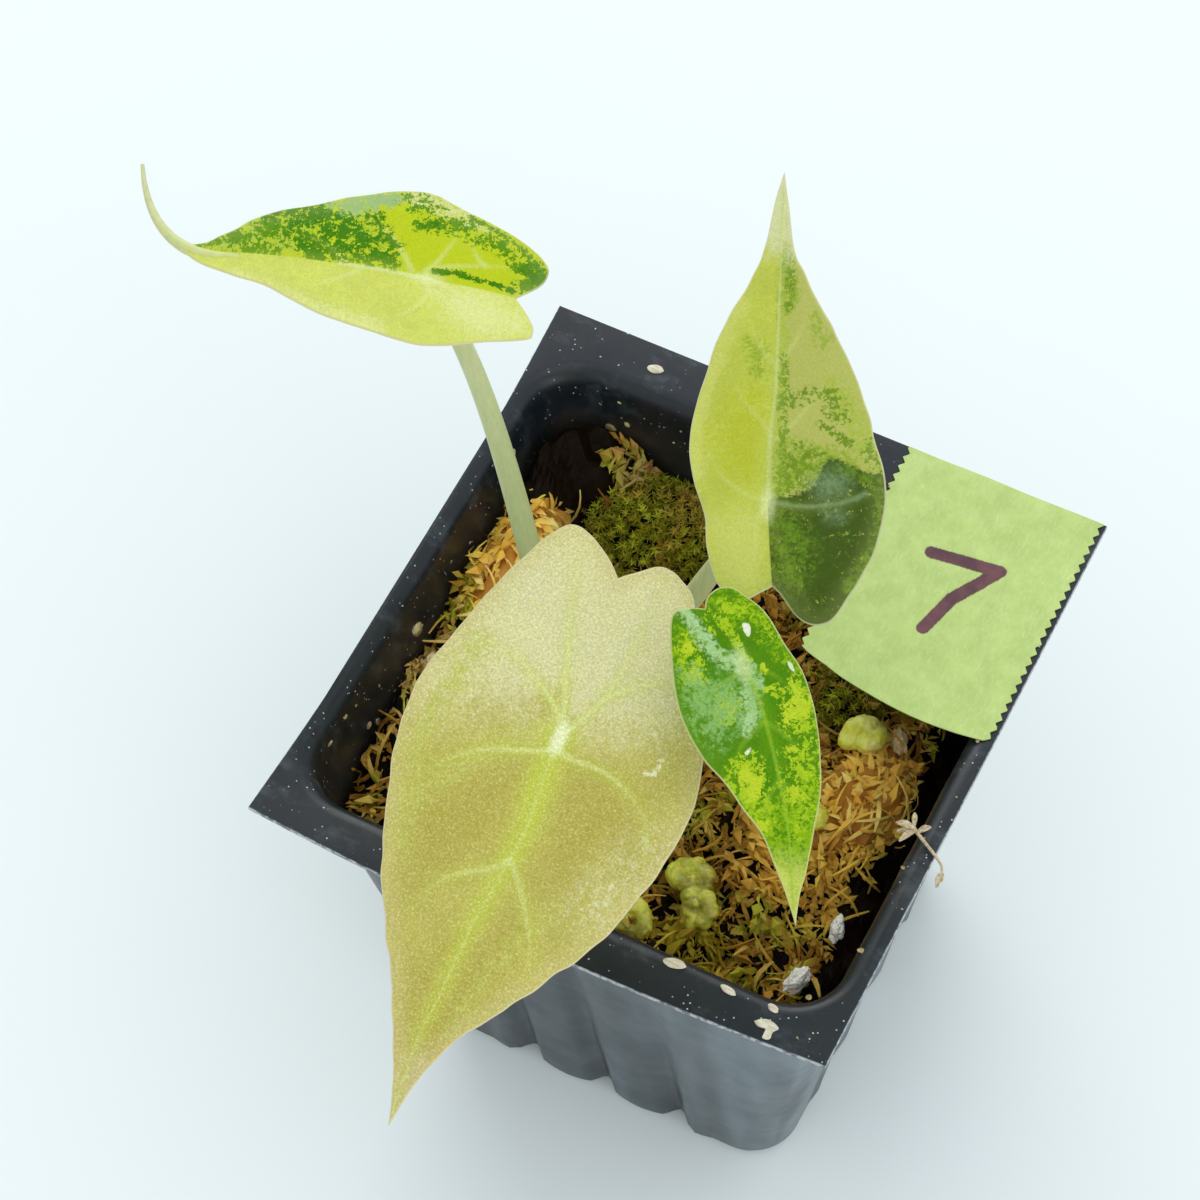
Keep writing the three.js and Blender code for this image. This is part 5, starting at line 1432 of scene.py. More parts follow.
# %% A tree that lays ropes of leaves
def rope_tree():
    tree = Tree("ropes_of_leaves", Stock="Collection", Spacing="Float", Size="Float",
                Finish="Material")
    curve, along = tree.marked_curve()
    marked = tree.store(curve, "along", along, "POINT")
    points = tree.add("CurveToPoints", {"Curve": marked, "Length": tree.given["Spacing"]},
                      mode="LENGTH").outputs
    roll = tree.times(tree.add("InputIndex", {}).outputs[0], 2.4)
    spiral = tree.turn(points["Rotation"], tree.vector(Z=roll))
    uneven = tree.chance((-0.35, -0.25, -0.5), (0.35, 0.25, 0.5), 4, "FLOAT_VECTOR")
    taper = tree.ramp({"Value": tree.stored("along"), "To Min": 1.15, "To Max": 0.5})
    scale = tree.times(tree.times(tree.chance(0.7, 1.25, 6), taper), tree.given["Size"])
    placed = pick_from(tree, points["Points"], tree.turn(spiral, uneven), scale, 9)
    shade = add_node(tree.tree, "ShaderNodeMath", {
        0: tree.stored("tone"), 1: tree.chance(-0.14, 0.14, 13)}, operation="ADD").outputs[0]
    return tree.finish(tree.store(placed, "tone", shade, "INSTANCE"))


ROPES = rope_tree()
print("rope tree nodes:", len(ROPES.nodes))

# %% [markdown]
# Old moss runs from rust through orange to straw, and goes dark where it is wet. The stored tone
# picks a strand's own colour, a slow noise shifts whole regions towards yellow or rust, and the
# body under the strands, which has tone 0, is painted nearly black as the shade in the hollows.

# %% Moss finish
def moss_finish(name, dark, middle, light, accent, gloss=0.6, hollow_shade=0.06, patches=()):
    moss = Finish(name, gloss)
    place = moss.place()
    tone = moss.stored("tone")
    fibre = moss.noise(place, 1.9, 5, 0.7, 0.6)
    region = moss.noise(place, 0.14, 3)
    value = moss.plus(moss.times(tone, 0.8), moss.times(fibre, 0.4))
    colour = moss.blend(moss.steps(value, 0.30, 0.68), dark, middle)
    colour = moss.blend(moss.steps(value, 0.68, 1.08), colour, light)
    picked = moss.math("FRACT", moss.times(tone, 17.0))
    picked = moss.plus(moss.times(picked, 0.5), moss.steps(region, 0.35, 0.65))
    colour = moss.blend(moss.steps(picked, 0.85, 1.25, 0, 0.8), colour, accent)
    for spot, radius, tint in patches:
        away = moss.add("VectorMath", {0: place, 1: spot}, operation="DISTANCE")
        near = moss.plus(away.outputs["Value"], moss.times(region, 6.0))
        near = moss.times(moss.steps(near, radius + 5, radius, 0, 0.8),
                         moss.steps(value, 0.2, 0.8, 0.35, 1))
        colour = moss.blend(near, colour, tint)
    # The body under the strands (tone 0) is painted nearly black, as the shade in the hollows between them.
    buried = moss.steps(tone, 0.02, 0.2)
    moss.colour(moss.blend(buried, tuple(hollow_shade * v for v in dark), colour))
    moss.rough(moss.steps(fibre, 0.3, 0.7, gloss - 0.15, gloss + 0.15))
    moss.relief(fibre, 0.12, 0.8)
    moss.fixed(Subsurface_Weight=0.12, Subsurface_Scale=0.0008, Specular_IOR_Level=0.1)
    return moss.material


# The near-black patches, in the back left corner and at the back end of the golden clump, are painted
# shade; the other patches are the moss's own colours.
brown_moss = moss_finish(
    "rust_brown_moss", (0.12, 0.050, 0.008), (0.42, 0.21, 0.026), (0.68, 0.46, 0.10),
    (0.42, 0.43, 0.030), patches=[((21, -9, 52), 9.0, (0.92, 0.55, 0.09)),
                                  ((12, -24, 51), 5.0, (0.52, 0.42, 0.03)),
                                  ((-25, -9, 56), 8.0, (0.74, 0.50, 0.15)),
                                  ((-25, 19, 60), 6.0, (0.020, 0.012, 0.004)),
                                  ((-17, 25, 60), 5.0, (0.34, 0.20, 0.10))])
gold_moss = moss_finish("golden_moss", (0.60, 0.27, 0.040), (0.92, 0.54, 0.075),
                        (0.96, 0.76, 0.26), (0.90, 0.62, 0.08), hollow_shade=0.9,
                        patches=[((-22.5, 17, 58), 3.0, (0.05, 0.03, 0.01))])
rust_moss = moss_finish("orange_moss", (0.50, 0.22, 0.035), (0.88, 0.50, 0.075),
                        (0.95, 0.74, 0.22), (0.85, 0.66, 0.10), hollow_shade=0.9)
print("moss finishes ready")

# %% [markdown]
# The bed stands high against the left wall and the back, and sinks to the front right, where most
# of it can be seen. Its top follows the same height rule as the solid, with finer lumps. Nothing
# grows in the back left corner and along the right wall, where the moss has shrunk back and its
# bare body, painted nearly black as shade, shows as dark gaps.

# %% The bed
def smooth(value, low, high):
    t = np.clip((value - low) / (high - low), 0, 1)
    return t * t * (3 - 2 * t)


MOSS_DROP, RISE_LEFT, RISE_BACK = 16.5, 8, 4


def moss_height(x, y):
    rim = smooth(np.maximum(np.abs(x), np.abs(y + 1)), 24, 31)
    lumps = (1.5 * np.sin(0.42 * x + 1.1) * np.cos(0.36 * y - 0.4)
             + 0.9 * np.sin(0.9 * x - 0.7 * y) + 0.6 * np.cos(1.3 * y + 0.8 * x + 2))
    return (POT_HEIGHT - MOSS_DROP + RISE_LEFT * smooth(-x, 15, 30) + RISE_BACK * smooth(y, 5, 27)
            - 0.8 * smooth(-y, 8, 28) - 2 * rim + lumps)


def keep_inside(points, gap=0.45):
    """Moves points in, in mm, where they would reach into the pot's wall."""
    t = np.clip(points[:, 2] / POT_HEIGHT, 0, 1)
    shift = MOUTH_SHIFT * t
    reach = np.stack([BASE_X + (MOUTH_X - BASE_X) * t, BASE_Y + (MOUTH_Y - BASE_Y) * t], 1) - 0.4 - gap
    corner = (BASE_CORNER + (MOUTH_CORNER - BASE_CORNER) * t)[:, None]
    flat = np.stack([points[:, 0], points[:, 1] - shift], 1)
    flat = np.sign(flat) * np.minimum(np.abs(flat), reach)
    past = np.maximum(np.abs(flat) - (reach - corner), 0)
    length = np.linalg.norm(past, axis=1, keepdims=True)
    squeeze = np.where(length > corner, corner / np.maximum(length, 1e-6), 1.0)
    rounded = np.minimum(np.abs(flat), reach - corner) + past * squeeze
    flat = np.sign(flat) * rounded
    return np.column_stack([flat[:, 0], flat[:, 1] + shift, points[:, 2]])


def reshape(piece, change):
    """Applies a change to all of a piece's points, given and returned in mm."""
    points = np.empty(len(piece.data.vertices) * 3)
    piece.data.vertices.foreach_get("co", points)
    points = change(points.reshape(-1, 3) / MM)
    piece.data.vertices.foreach_set("co", (points * MM).ravel())
    piece.data.update()


def bed_rings():
    outline = wall_ring(52, -0.9)[::2]
    centre = np.array([0, MOUTH_SHIFT * 0.8, 0])
    top = []
    for f in np.linspace(0, 1, 40)[1:]:
        ring = centre + (outline - centre) * f
        z = moss_height(ring[:, 0], ring[:, 1])
        z += [0.7 * noise.noise((x * 0.45, y * 0.45, 1.0)) for x, y, _ in ring]
        top.append(keep_inside(np.column_stack([ring[:, 0], ring[:, 1], z])))
    sides = [np.column_stack([wall_ring(h, -0.9)[::2, :2], np.full(len(outline), h)])
             for h in (44, 30, 16, 4)]
    foot = np.column_stack([wall_ring(0, -3.5)[::2, :2], np.full(len(outline), SHEET + 0.05)])
    middle = moss_height(np.array([0.0]), np.array([-0.8]))[0]
    return top + sides + [foot], (0, -0.8, middle), (0, 0, SHEET + 0.05)


def bare(x, y):
    """Where nothing grows: along the right wall and in the back left corner."""
    return x > 26 or (x < -21 - 0.08 * (y - 18) ** 2 / 3 and y > 12)


bed_shape, bed_top, bed_foot = bed_rings()
bed_points, bed_faces = skin(bed_shape, bed_top, bed_foot)
moss_bed = plain_object("moss_bed_crumbs", bed_points, bed_faces,
                        {"grow": [float(z > 46 and not bare(x, y)) for x, y, z in bed_points]})
run_tree(moss_bed, SCATTER, Stock=stock, Density=620000.0, Seed=4, Smallest=0.55, Largest=1.1,
         Lean=0.4, Finish=brown_moss)
reshape(moss_bed, keep_inside)
dress(moss_bed, brown_moss, "moss_brown", "moss_bed")

# %% [markdown]
# Ropes are laid over the crumbs: each starts anywhere on the bed, wanders as it goes, arches up a
# little in the middle and dips back in at its ends.

# %% Ropes on the bed
def lay_ropes(name, node, count, start, height, seed, material, slot, size, lengths=(7, 14), arch=1.0,
              wander=0.28):
    """Lines of points over a surface, turned into ropes of leaves by the rope tree."""
    chance = np.random.default_rng(seed)
    points, edges, tones = [], [], []
    for _ in range(count):
        x, y = start(chance)
        heading = chance.uniform(0, 2 * math.pi)
        steps = int(chance.uniform(*lengths))
        tone = chance.uniform(0.42, 1.0)
        lift = chance.uniform(0.1, 1.0) * arch
        for i in range(steps + 1):
            x, y = x + math.cos(heading), y + math.sin(heading)
            if bare(x + 0.5, y) or bare(x - 0.5, y):
                heading = math.atan2(-y, -x)
            heading += chance.normal(0, wander)
            z = height(x, y) + lift * math.sin(math.pi * i / steps) * 1.6 - 0.5
            if i:
                edges.append((len(points) - 1, len(points)))
            points.append((x, y, z + chance.normal(0, 0.12)))
            tones.append(tone)
    points = keep_inside(np.array(points), 1.0)
    piece = plain_object(name, points, [], {"tone": tones}, edges)
    run_tree(piece, ROPES, Stock=leafstock, Spacing=0.34 * MM * size, Size=size, Finish=material)
    reshape(piece, keep_inside)
    crease(piece.data, 35)
    dress(piece, material, slot, node)
    print(name, "has", len(piece.data.polygons), "faces")


def anywhere(chance):
    """A point on the part of the bed where moss grows."""
    while True:
        x, y = chance.uniform(-29, 26), chance.uniform(-29, 27)
        if not bare(x, y):
            return x, y


def bed_top_at(x, y):
    return float(moss_height(np.array([x]), np.array([y]))[0])


lay_ropes("moss_bed_fine_ropes", "moss_bed", 210, anywhere, bed_top_at, 11, brown_moss,
          "moss_brown", 1.0)
lay_ropes("moss_bed_thick_ropes", "moss_bed", 170, anywhere, bed_top_at, 17, brown_moss,
          "moss_brown", 1.55, (5, 11), 1.7)

# %% [markdown]
# Two clumps of another colour lie in the bed: a golden one against the left wall and an orange
# one on the right. They are low mounds, covered with the same crumbs and ropes.

# %% Golden and orange clumps
def mound(name, centre, radii, turn, lumps, seed, above=-0.2):
    """A lumpy ellipsoid; its upper side is where moss grows."""
    points, faces = ball(4)
    grow = (points[:, 2] > above).astype(float)
    swell = [1 + lumps * noise.noise((*(p * 2.2),)) for p in points + seed * 3.1]
    points = turned(points * np.array(swell)[:, None] * radii, turn) + centre
    return plain_object(name, points, faces, {"grow": grow})


def on_mound(centre, radii, turn):
    """A start rule and a height rule for ropes that lie on a mound."""
    c, s = math.cos(math.radians(turn)), math.sin(math.radians(turn))

    def local(x, y):
        dx, dy = x - centre[0], y - centre[1]
        return (dx * c + dy * s) / radii[0], (dy * c - dx * s) / radii[1]

    def start(chance):
        u, v = chance.uniform(-0.8, 0.8, 2)
        return (centre[0] + u * radii[0] * c - v * radii[1] * s,
                centre[1] + u * radii[0] * s + v * radii[1] * c)

    def height(x, y):
        u, v = local(x, y)
        return centre[2] + radii[2] * (1.04 * math.sqrt(max(0, 1 - u * u - v * v)) - 0.04)

    return start, height


for name, node, slot, finish, centre, radii, turn, seed in (
        ("golden_moss", "moss_gold_left", "moss_gold", gold_moss, (-26.3, 7.5, 57.2),
         (3.6, 11.6, 4.6), 2, 2),
        ("orange_moss", "moss_rust_right", "moss_rust", rust_moss, (22.3, 0.5, 51.7),
         (4.7, 7.2, 4.2), -12, 5)):
    body = mound(name + "_clump", centre, radii, turn, 0.3, seed)
    run_tree(body, SCATTER, Stock=stock, Density=500000.0, Seed=seed, Smallest=0.5, Largest=0.95,
             Lean=0.5, Finish=finish)
    reshape(body, keep_inside)
    dress(body, finish, slot, node)
    lay_ropes(name + "_ropes", node, 34 if seed == 2 else 26, *on_mound(centre, radii, turn),
              seed + 30, finish, slot, 1.45, (4, 8), 0.6, 0.4)

# %% [markdown]
# Live moss has settled at the back. Its shoots are tiny stars of narrow pointed leaves, bright
# where they are new. One shoot goes into a stock of its own, and the same tree plants it.

# %% Green cushions
shoots = bpy.data.collections.new("shoot_stock")
bpy.context.scene.collection.children.link(shoots)


def shoot(name, height, leaves):
    """An upright shoot of narrow pointed leaves, closed tetrahedra all."""
    points, faces = [], []
    for i in range(leaves):
        turn, level = i * 2.4, height * (0.15 + 0.75 * i / leaves)
        out = np.array([math.cos(turn), math.sin(turn), 0])
        over = np.array([-math.sin(turn), math.cos(turn), 0])
        root = np.array([0, 0, level])
        tip = root + out * (0.85 - 0.3 * i / leaves) + np.array([0, 0, 0.55])
        base = len(points)
        points += [root + over * 0.17, root - over * 0.17, tip, root + np.array([0, 0, 0.2]) - out * 0.1]
        faces += [(base, base + 2, base + 1), (base, base + 3, base + 2), (base + 1, base + 2, base + 3),
                  (base, base + 1, base + 3)]
    return into_stock(shoots, plain_object(name, np.array(points), faces))


shoot("young_shoot", 1.3, 9)
shoot("tall_shoot", 2.1, 13)
live_moss = moss_finish("live_green_moss", (0.055, 0.050, 0.003), (0.21, 0.20, 0.010),
                        (0.44, 0.47, 0.028), (0.40, 0.27, 0.04), 0.5)
for name, node, centre, radii, seed in (
        ("green_moss_back", "moss_green_back", (-15.5, 21.3, 53.4), (8.2, 6.7, 3.4), 3),
        ("green_moss_right", "moss_green_right", (15.5, 13.5, 51.8), (4.0, 4.4, 2.8), 6)):
    cushion = mound(name, centre, radii, 0, 0.28, seed, 0.0)
    run_tree(cushion, SCATTER, Stock=shoots, Density=2600000.0, Seed=seed, Smallest=0.7,
             Largest=1.25, Lean=0.5, Finish=live_moss)
    reshape(cushion, keep_inside)
    dress(cushion, live_moss, "moss_green", node)

# %% [markdown]
# Between the strands sit plump yellow-green heads, waxy and curled in on themselves like small
# fists. Each finger is a chain of balls along a curve. A voxel remesh melts them together, so the
# folds between the fingers stay as creases, and a little noise makes them lumpy.

# %% Plump moss heads
def head_finish(name, low, high):
    head = Finish(name, 0.36)
    place = head.place()
    soft = head.noise(place, 0.4, 3)
    grain = head.noise(place, 2.4, 4, 0.65)
    colour = head.blend(head.steps(soft, 0.36, 0.62), low, high)
    # Painted shade: the folds between the fingers are darkened by the stored fold number.
    hollow_shade = head.steps(head.stored("fold"), 0.3, 1.0, 0, 0.75)
    colour = head.blend(hollow_shade, colour, (0.24, 0.19, 0.008))
    # Painted highlights: pale yellow specks from the grain noise.
    head.colour(head.blend(head.steps(grain, 0.52, 0.72, 0, 0.45), colour, (0.86, 0.88, 0.26)))
    head.rough(head.steps(grain, 0.3, 0.7, 0.30, 0.46))
    head.relief(grain, 0.08, 0.7)
    head.fixed(Subsurface_Weight=0.5, Subsurface_Scale=0.0015, Coat_Weight=0.2, Coat_Roughness=0.3)
    return head.material


BALLS = 12


def curled_head(name, node, centre, fingers, material, seed):
    """Fingers (line of points about the centre, start radius, end radius) melted into one head."""
    chance = random.Random(seed)
    work = bmesh.new()
    lines = [through(line, BALLS) for line, _, _ in fingers]
    for line, (_, thick, thin) in zip(lines, fingers):
        for i, place in enumerate(line):
            t = i / (BALLS - 1)
            r = (thick + (thin - thick) * t) * chance.uniform(0.94, 1.06)
            bmesh.ops.create_icosphere(work, subdivisions=3, radius=r * MM,
                                       matrix=Matrix.Translation((place + centre) * MM))
    mesh = bpy.data.meshes.new(name)
    work.to_mesh(mesh)
    work.free()
    piece = into_scene(name, mesh)
    melt = piece.modifiers.new("melt", "REMESH")
    melt.mode, melt.voxel_size = "VOXEL", 0.14 * MM
    ease = piece.modifiers.new("ease", "SMOOTH")
    ease.factor, ease.iterations = 0.5, 3
    freeze(piece)
    points = np.array([v.co for v in piece.data.vertices]) / MM
    normals = np.array([v.normal for v in piece.data.vertices])
    swell = np.array([0.28 * noise.noise((*(p * 0.75 + seed),)) + 0.12 * noise.noise((*(p * 1.9),))
                      for p in points])
    piece.data.vertices.foreach_set("co", ((points + normals * swell[:, None]) * MM).ravel())
    centres = np.vstack([line + centre for line in lines])
    away = np.sort(np.linalg.norm(points[:, None] - centres[None], axis=2), axis=1)
    # fold marks the creases between the fingers, where the finish paints shade.
    fold = np.clip(1.6 - (away[:, 4] - away[:, 0]) * 1.2 - swell * 2, 0, 1)
    fold *= np.clip((away[:, 0].max() - away[:, 0]) / 0.6, 0, 1)
    piece.data.attributes.new("fold", "FLOAT", "POINT").data.foreach_set("value", fold)
    crease(piece.data, 80)
    dress(piece, material, "moss_head", node)


waxy = head_finish("waxy_moss_head", (0.40, 0.42, 0.016), (0.78, 0.80, 0.10))
# sunlit is a lighter copy of the waxy finish: painted light for the back head, where the light falls.
sunlit = head_finish("sunlit_moss_head", (0.74, 0.76, 0.05), (0.94, 0.95, 0.24))
curled_head("moss_head_front_curls", "moss_head_front", (10, -19, 53.6), [
    ([(-1.6, 2.8, -0.8), (-2.5, 1.4, 0.3), (-1.4, 0.4, 0.9), (-0.1, 1.0, 0.5)], 1.5, 1.0),
    ([(-0.6, 2.9, 0.2), (0.7, 2.3, 0.5), (1.2, 1.0, 0.1)], 1.15, 0.85),
    ([(0.4, -0.5, 0.2), (1.9, -0.3, 0.7), (3.0, -1.6, 0.5), (2.7, -2.9, 0.0)], 1.3, 0.95),
    ([(1.6, -3.1, -0.3), (0.6, -2.1, 0.2), (1.4, -1.5, 0.7)], 1.15, 0.75)], waxy, 1)
curled_head("moss_head_low_curls", "moss_head_low", (5.4, -24.6, 51.4), [
    ([(-1.2, 0.8, -0.2), (-0.4, 1.6, 0.5), (0.9, 1.0, 0.6), (1.2, -0.2, 0.3)], 1.5, 1.1),
    ([(-1.0, -0.4, 0.1), (0.1, -0.9, 0.3)], 1.3, 1.0)], waxy, 2)
curled_head("moss_head_back_curls", "moss_head_back", (19.2, 6.6, 55.5), [
    ([(-1.2, -0.8, -0.3), (-0.9, 0.7, 0.4), (0.4, 1.2, 0.6)], 1.5, 1.1),
    ([(0.8, -0.6, 0.0), (1.7, 0.6, 0.2), (1.2, 1.7, -0.1)], 1.3, 0.95)], sunlit, 3)
curled_head("moss_head_side_curls", "moss_head_side", (18.4, -5.4, 55.2), [
    ([(-0.6, 1.2, -0.3), (-0.6, 0.0, 0.3), (0.4, -0.8, 0.3)], 1.3, 1.0),
    ([(0.6, 0.9, -0.1), (0.9, -0.2, 0.1)], 1.1, 0.9)], waxy, 4)

# %% [markdown]
# A few white grains of perlite and pale bits of bark lie in the moss. Perlite is a popped glass
# foam: a ball roughened by noise at two scales, chalky and full of tiny pits.

# %% Grains and chips
def grain(name, node, centre, radii, turn, roughness, material, slot, seed):
    points, faces = ball(5)
    swell = [1 + roughness * noise.noise((*(p * 1.6 + seed),)) + 0.4 * roughness
             * noise.noise((*(p * 5 + seed),)) for p in points]
    points = turned(points * np.array(swell)[:, None] * radii, turn) + centre
    piece = plain_object(name, points, faces)
    crease(piece.data, 80)
    dress(piece, material, slot, node)


perlite = Finish("chalky_perlite", 0.85)
place = perlite.place()
pits = perlite.cells(place, 2.6)
perlite.colour(perlite.blend(perlite.steps(pits, 0.1, 0.45), (0.62, 0.58, 0.50), (0.88, 0.86, 0.80)))
perlite.relief(pits, 0.15, 0.8)
perlite.fixed(Subsurface_Weight=0.2, Subsurface_Scale=0.0008)
bark = Finish("pale_bark", 0.8)
rays = bark.noise(bark.place((1, 0.3, 1)), 2.4, 5, 0.7)
bark.colour(bark.blend(bark.steps(rays, 0.3, 0.7), (0.58, 0.38, 0.15), (0.90, 0.80, 0.52)))
bark.relief(rays, 0.15, 0.8)
grain("perlite_grain_corner", "perlite_corner", (25.2, -23.4, 53.2), (1.0, 2.0, 1.1), -20, 0.35,
      perlite.material, "perlite_white", 1)
grain("perlite_grain_side", "perlite_side", (26.5, -15.7, 53.0), (0.8, 1.5, 0.9), 12, 0.35,
      perlite.material, "perlite_white", 4)
grain("bark_bit_back", "bark_chip_back", (22.9, 8.4, 54.3), (0.8, 1.6, 0.7), 35, 0.4,
      bark.material, "bark_tan", 7)
grain("bark_bit_left", "bark_chip_left", (-28.2, -8.2, 57.9), (1.3, 1.9, 1.0), 15, 0.4,
      bark.material, "bark_tan", 9)

# %% [markdown]
# The corm and its roots are buried in the moss, where the CAD solid already has the right shape.
# It keeps its own mesh and only gets a finish.

# %% Corm and roots
corm_finish = Finish("tan_corm", 0.7)
rings_of = corm_finish.noise(corm_finish.place((1, 1, 4)), 0.5, 4)
corm_finish.colour(corm_finish.blend(rings_of, (0.24, 0.13, 0.05), (0.55, 0.38, 0.20)))
corm_finish.relief(rings_of, 0.2, 0.7)
corm = frame["nodes"]["corm_and_roots"]
corm.data.materials.clear()
corm.data.materials.append(corm_finish.material)

# %% [markdown]
# ## Paper tape
# A strip of green masking tape crosses the back right corner of the rim. Its ends were torn on a
# zigzag cutter and its front edge sags where nothing holds it. It is made as a grid between those
# four edges, with a slight wave, and then given the thickness of paper.

# %% The tape
TAPE_LEFT, TAPE_RIGHT, TAPE_FRONT, TAPE_BACK = 10.6, 34.4, 5.2, 37.1
TOOTH, PITCH = 0.6, 1.34


def zigzag(y):
    return TOOTH * (np.abs((y / PITCH) % 1 - 0.5) * 2 - 0.5)


def tape_grid(columns=96, rows=240):
    u = np.linspace(0, 1, columns)[None, :]
    v = np.linspace(0, 1, rows)[:, None]
    front = ((1 - u) ** 2 * (TAPE_FRONT + 2.6) + 2 * u * (1 - u) * (TAPE_FRONT - 1.6)
             + u ** 2 * (TAPE_FRONT + 0.4))
    y = front + (TAPE_BACK - front) * v
    left = TAPE_LEFT + zigzag(y)
    right = TAPE_RIGHT + zigzag(y + 0.5) * 0.9 - 0.4 * np.exp(-v * 40)
    x = left + (right - left) * u
    z = POT_HEIGHT + 0.13 + 0.07 * np.sin(x * 0.5 + 1) * np.cos(y * 0.42)
    return np.stack([x, y, z + 0 * x], -1)


tape_finish = Finish("green_masking_paper", 0.72)
place = tape_finish.place()
pulp = tape_finish.noise(place, 0.28, 5, 0.62)
fibres = tape_finish.noise(tape_finish.place((1, 0.35, 1)), 3.2, 4, 0.7, 0.8)
crepe = tape_finish.noise(tape_finish.place((0.25, 1, 1)), 1.6, 3)
paper = tape_finish.blend(tape_finish.steps(pulp, 0.3, 0.7), (0.42, 0.555, 0.165), (0.515, 0.65, 0.215))
paper = tape_finish.blend(tape_finish.steps(fibres, 0.45, 0.75, 0, 0.3), paper, (0.72, 0.82, 0.48))
print("tape is", round(TAPE_RIGHT - TAPE_LEFT, 1), "by", round(TAPE_BACK - TAPE_FRONT, 1), "mm")

# %% [markdown]
# Growers number their seedlings on such tape with a felt pen. A plain 7 stands for that number. It
# is drawn in the material from three strokes: a node measures the distance to each, and a little
# noise lets the ink bleed into the paper.

# %% A number in felt pen
def stroke(finish, where, start, end):
    """Distance in mm from the shading point to a straight stroke in the tape's plane."""
    start, end = np.array([*start, 0.0]), np.array([*end, 0.0])
    along = end - start
    length2 = float(along @ along)

    def vector(operation, a, b):
        return finish.add("VectorMath", {0: a, 1: b}, operation=operation)

    from_start = vector("SUBTRACT", where, tuple(start)).outputs["Vector"]
    dot = vector("DOT_PRODUCT", from_start, tuple(along)).outputs["Value"]
    t = finish.math("DIVIDE", dot, length2, clamp=True)
    on_line = finish.add("VectorMath", {0: tuple(along), 3: t}, operation="SCALE")
    gap = vector("SUBTRACT", from_start, on_line.outputs["Vector"])
    return finish.add("VectorMath", {0: gap.outputs["Vector"]},
                      operation="LENGTH").outputs["Value"]


flat_place = tape_finish.add("VectorMath", {0: place, 1: (1, 1, 0)},
                             operation="MULTIPLY").outputs["Vector"]
SEVEN = [((18.6, 25.2), (26.6, 26.2)), ((26.6, 26.2), (23.2, 20.6)), ((23.2, 20.6), (21.9, 15.8))]
closest = None
for start, end in SEVEN:
    away = stroke(tape_finish, flat_place, start, end)
    closest = away if closest is None else tape_finish.math("MINIMUM", closest, away)
closest = tape_finish.plus(closest, tape_finish.times(fibres, 0.35))
ink = tape_finish.steps(closest, 1.06, 0.88, 0, 1)
inked = tape_finish.blend(tape_finish.steps(pulp, 0.35, 0.65), (0.085, 0.030, 0.045),
                          (0.16, 0.060, 0.070))
tape_finish.colour(tape_finish.blend(ink, paper, inked))
tape_finish.relief(tape_finish.plus(crepe, fibres), 0.05, 0.6)
tape_finish.fixed(Subsurface_Weight=0.1, Subsurface_Scale=0.0006, Sheen_Weight=0.1)
tape = plain_object("masking_tape", *slab(tape_grid(), 0.16))
crease(tape.data, 50)
dress(tape, tape_finish.material, "tape_paper", "label_tape")

# %% [markdown]
# ## Crumbs on the pot
# Pale scales from old moss leaves lie on the flange. Each is an outline filled towards a raised
# middle, thin as onion skin. More crumbs cling to the inner walls, where watering left them.

# %% Flakes on the flange
scale_finish = Finish("dry_moss_scale", 0.6)
veined = scale_finish.noise(scale_finish.place((0.6, 2.4, 1)), 1.6, 4, 0.65)
scale_finish.colour(scale_finish.blend(scale_finish.steps(veined, 0.3, 0.7), (0.55, 0.46, 0.31),
                                       (0.84, 0.79, 0.65)))
scale_finish.relief(veined, 0.06, 0.8)
scale_finish.fixed(Subsurface_Weight=0.2, Subsurface_Scale=0.0008)


def flake(name, node, outline, centre, turn, arch=0.22):
    """A closed flake from an outline in mm, lying on the flange."""
    ring = through(list(outline) + [outline[0]], 41)[:-1]
    c, s = math.cos(math.radians(turn)), math.sin(math.radians(turn))
    ring = ring @ np.array([[c, s], [-s, c]])
    heart = ring.mean(axis=0)
    layers = []
    for f, z in ((0.35, 0.1 + arch), (0.7, 0.1 + arch * 0.8), (0.95, 0.12), (1.0, 0.07), (0.96, 0.02),
                 (0.5, 0.02)):
        flat = heart + (ring - heart) * f + np.array(centre)
        layers.append(np.column_stack([flat, np.full(len(flat), POT_HEIGHT + z)]))
    middle = heart + np.array(centre)
    points, faces = skin(layers, (*middle, POT_HEIGHT + 0.12 + arch), (*middle, POT_HEIGHT + 0.02))
    piece = plain_object(name, points, faces)
    crease(piece.data, 60)
    return dress(piece, scale_finish.material, "dry_scale", node)


def almond(a, b):
    return [(a, 0), (a * 0.55, b * 0.85), (-a * 0.2, b), (-a * 0.9, b * 0.5), (-a, -b * 0.3),
            (-a * 0.3, -b), (a * 0.6, -b * 0.7)]


flake("moss_scale_a", "flake_front_a", almond(1.3, 0.6), (15.5, -33.6), 8)
flake("moss_scale_b", "flake_front_b", almond(1.0, 0.42), (22.0, -33.9), -12)
flake("moss_scale_c", "flake_front_c", almond(0.7, 0.42), (27.2, -33.7), -20)
flake("moss_scale_back", "flake_back", almond(1.0, 0.6), (-20.7, 34), 10)
flake("moss_scale_hooked", "flake_hooked", [(-1.5, 0.3), (-0.9, 0.85), (-0.2, 1.1), (0.6, 1.0),
      (1.25, 0.6), (0.85, -0.05), (0.9, -0.9), (0.1, -1.1), (0.1, -0.1), (-0.9, -0.1)], (27.5, -36.2),
      0, 0.14)

# %% [markdown]
# A dried wisp of moss hangs over the right rim: a stem swept by the tube tree, with six curled
# leaflets made as slabs of a narrow, arched grid.

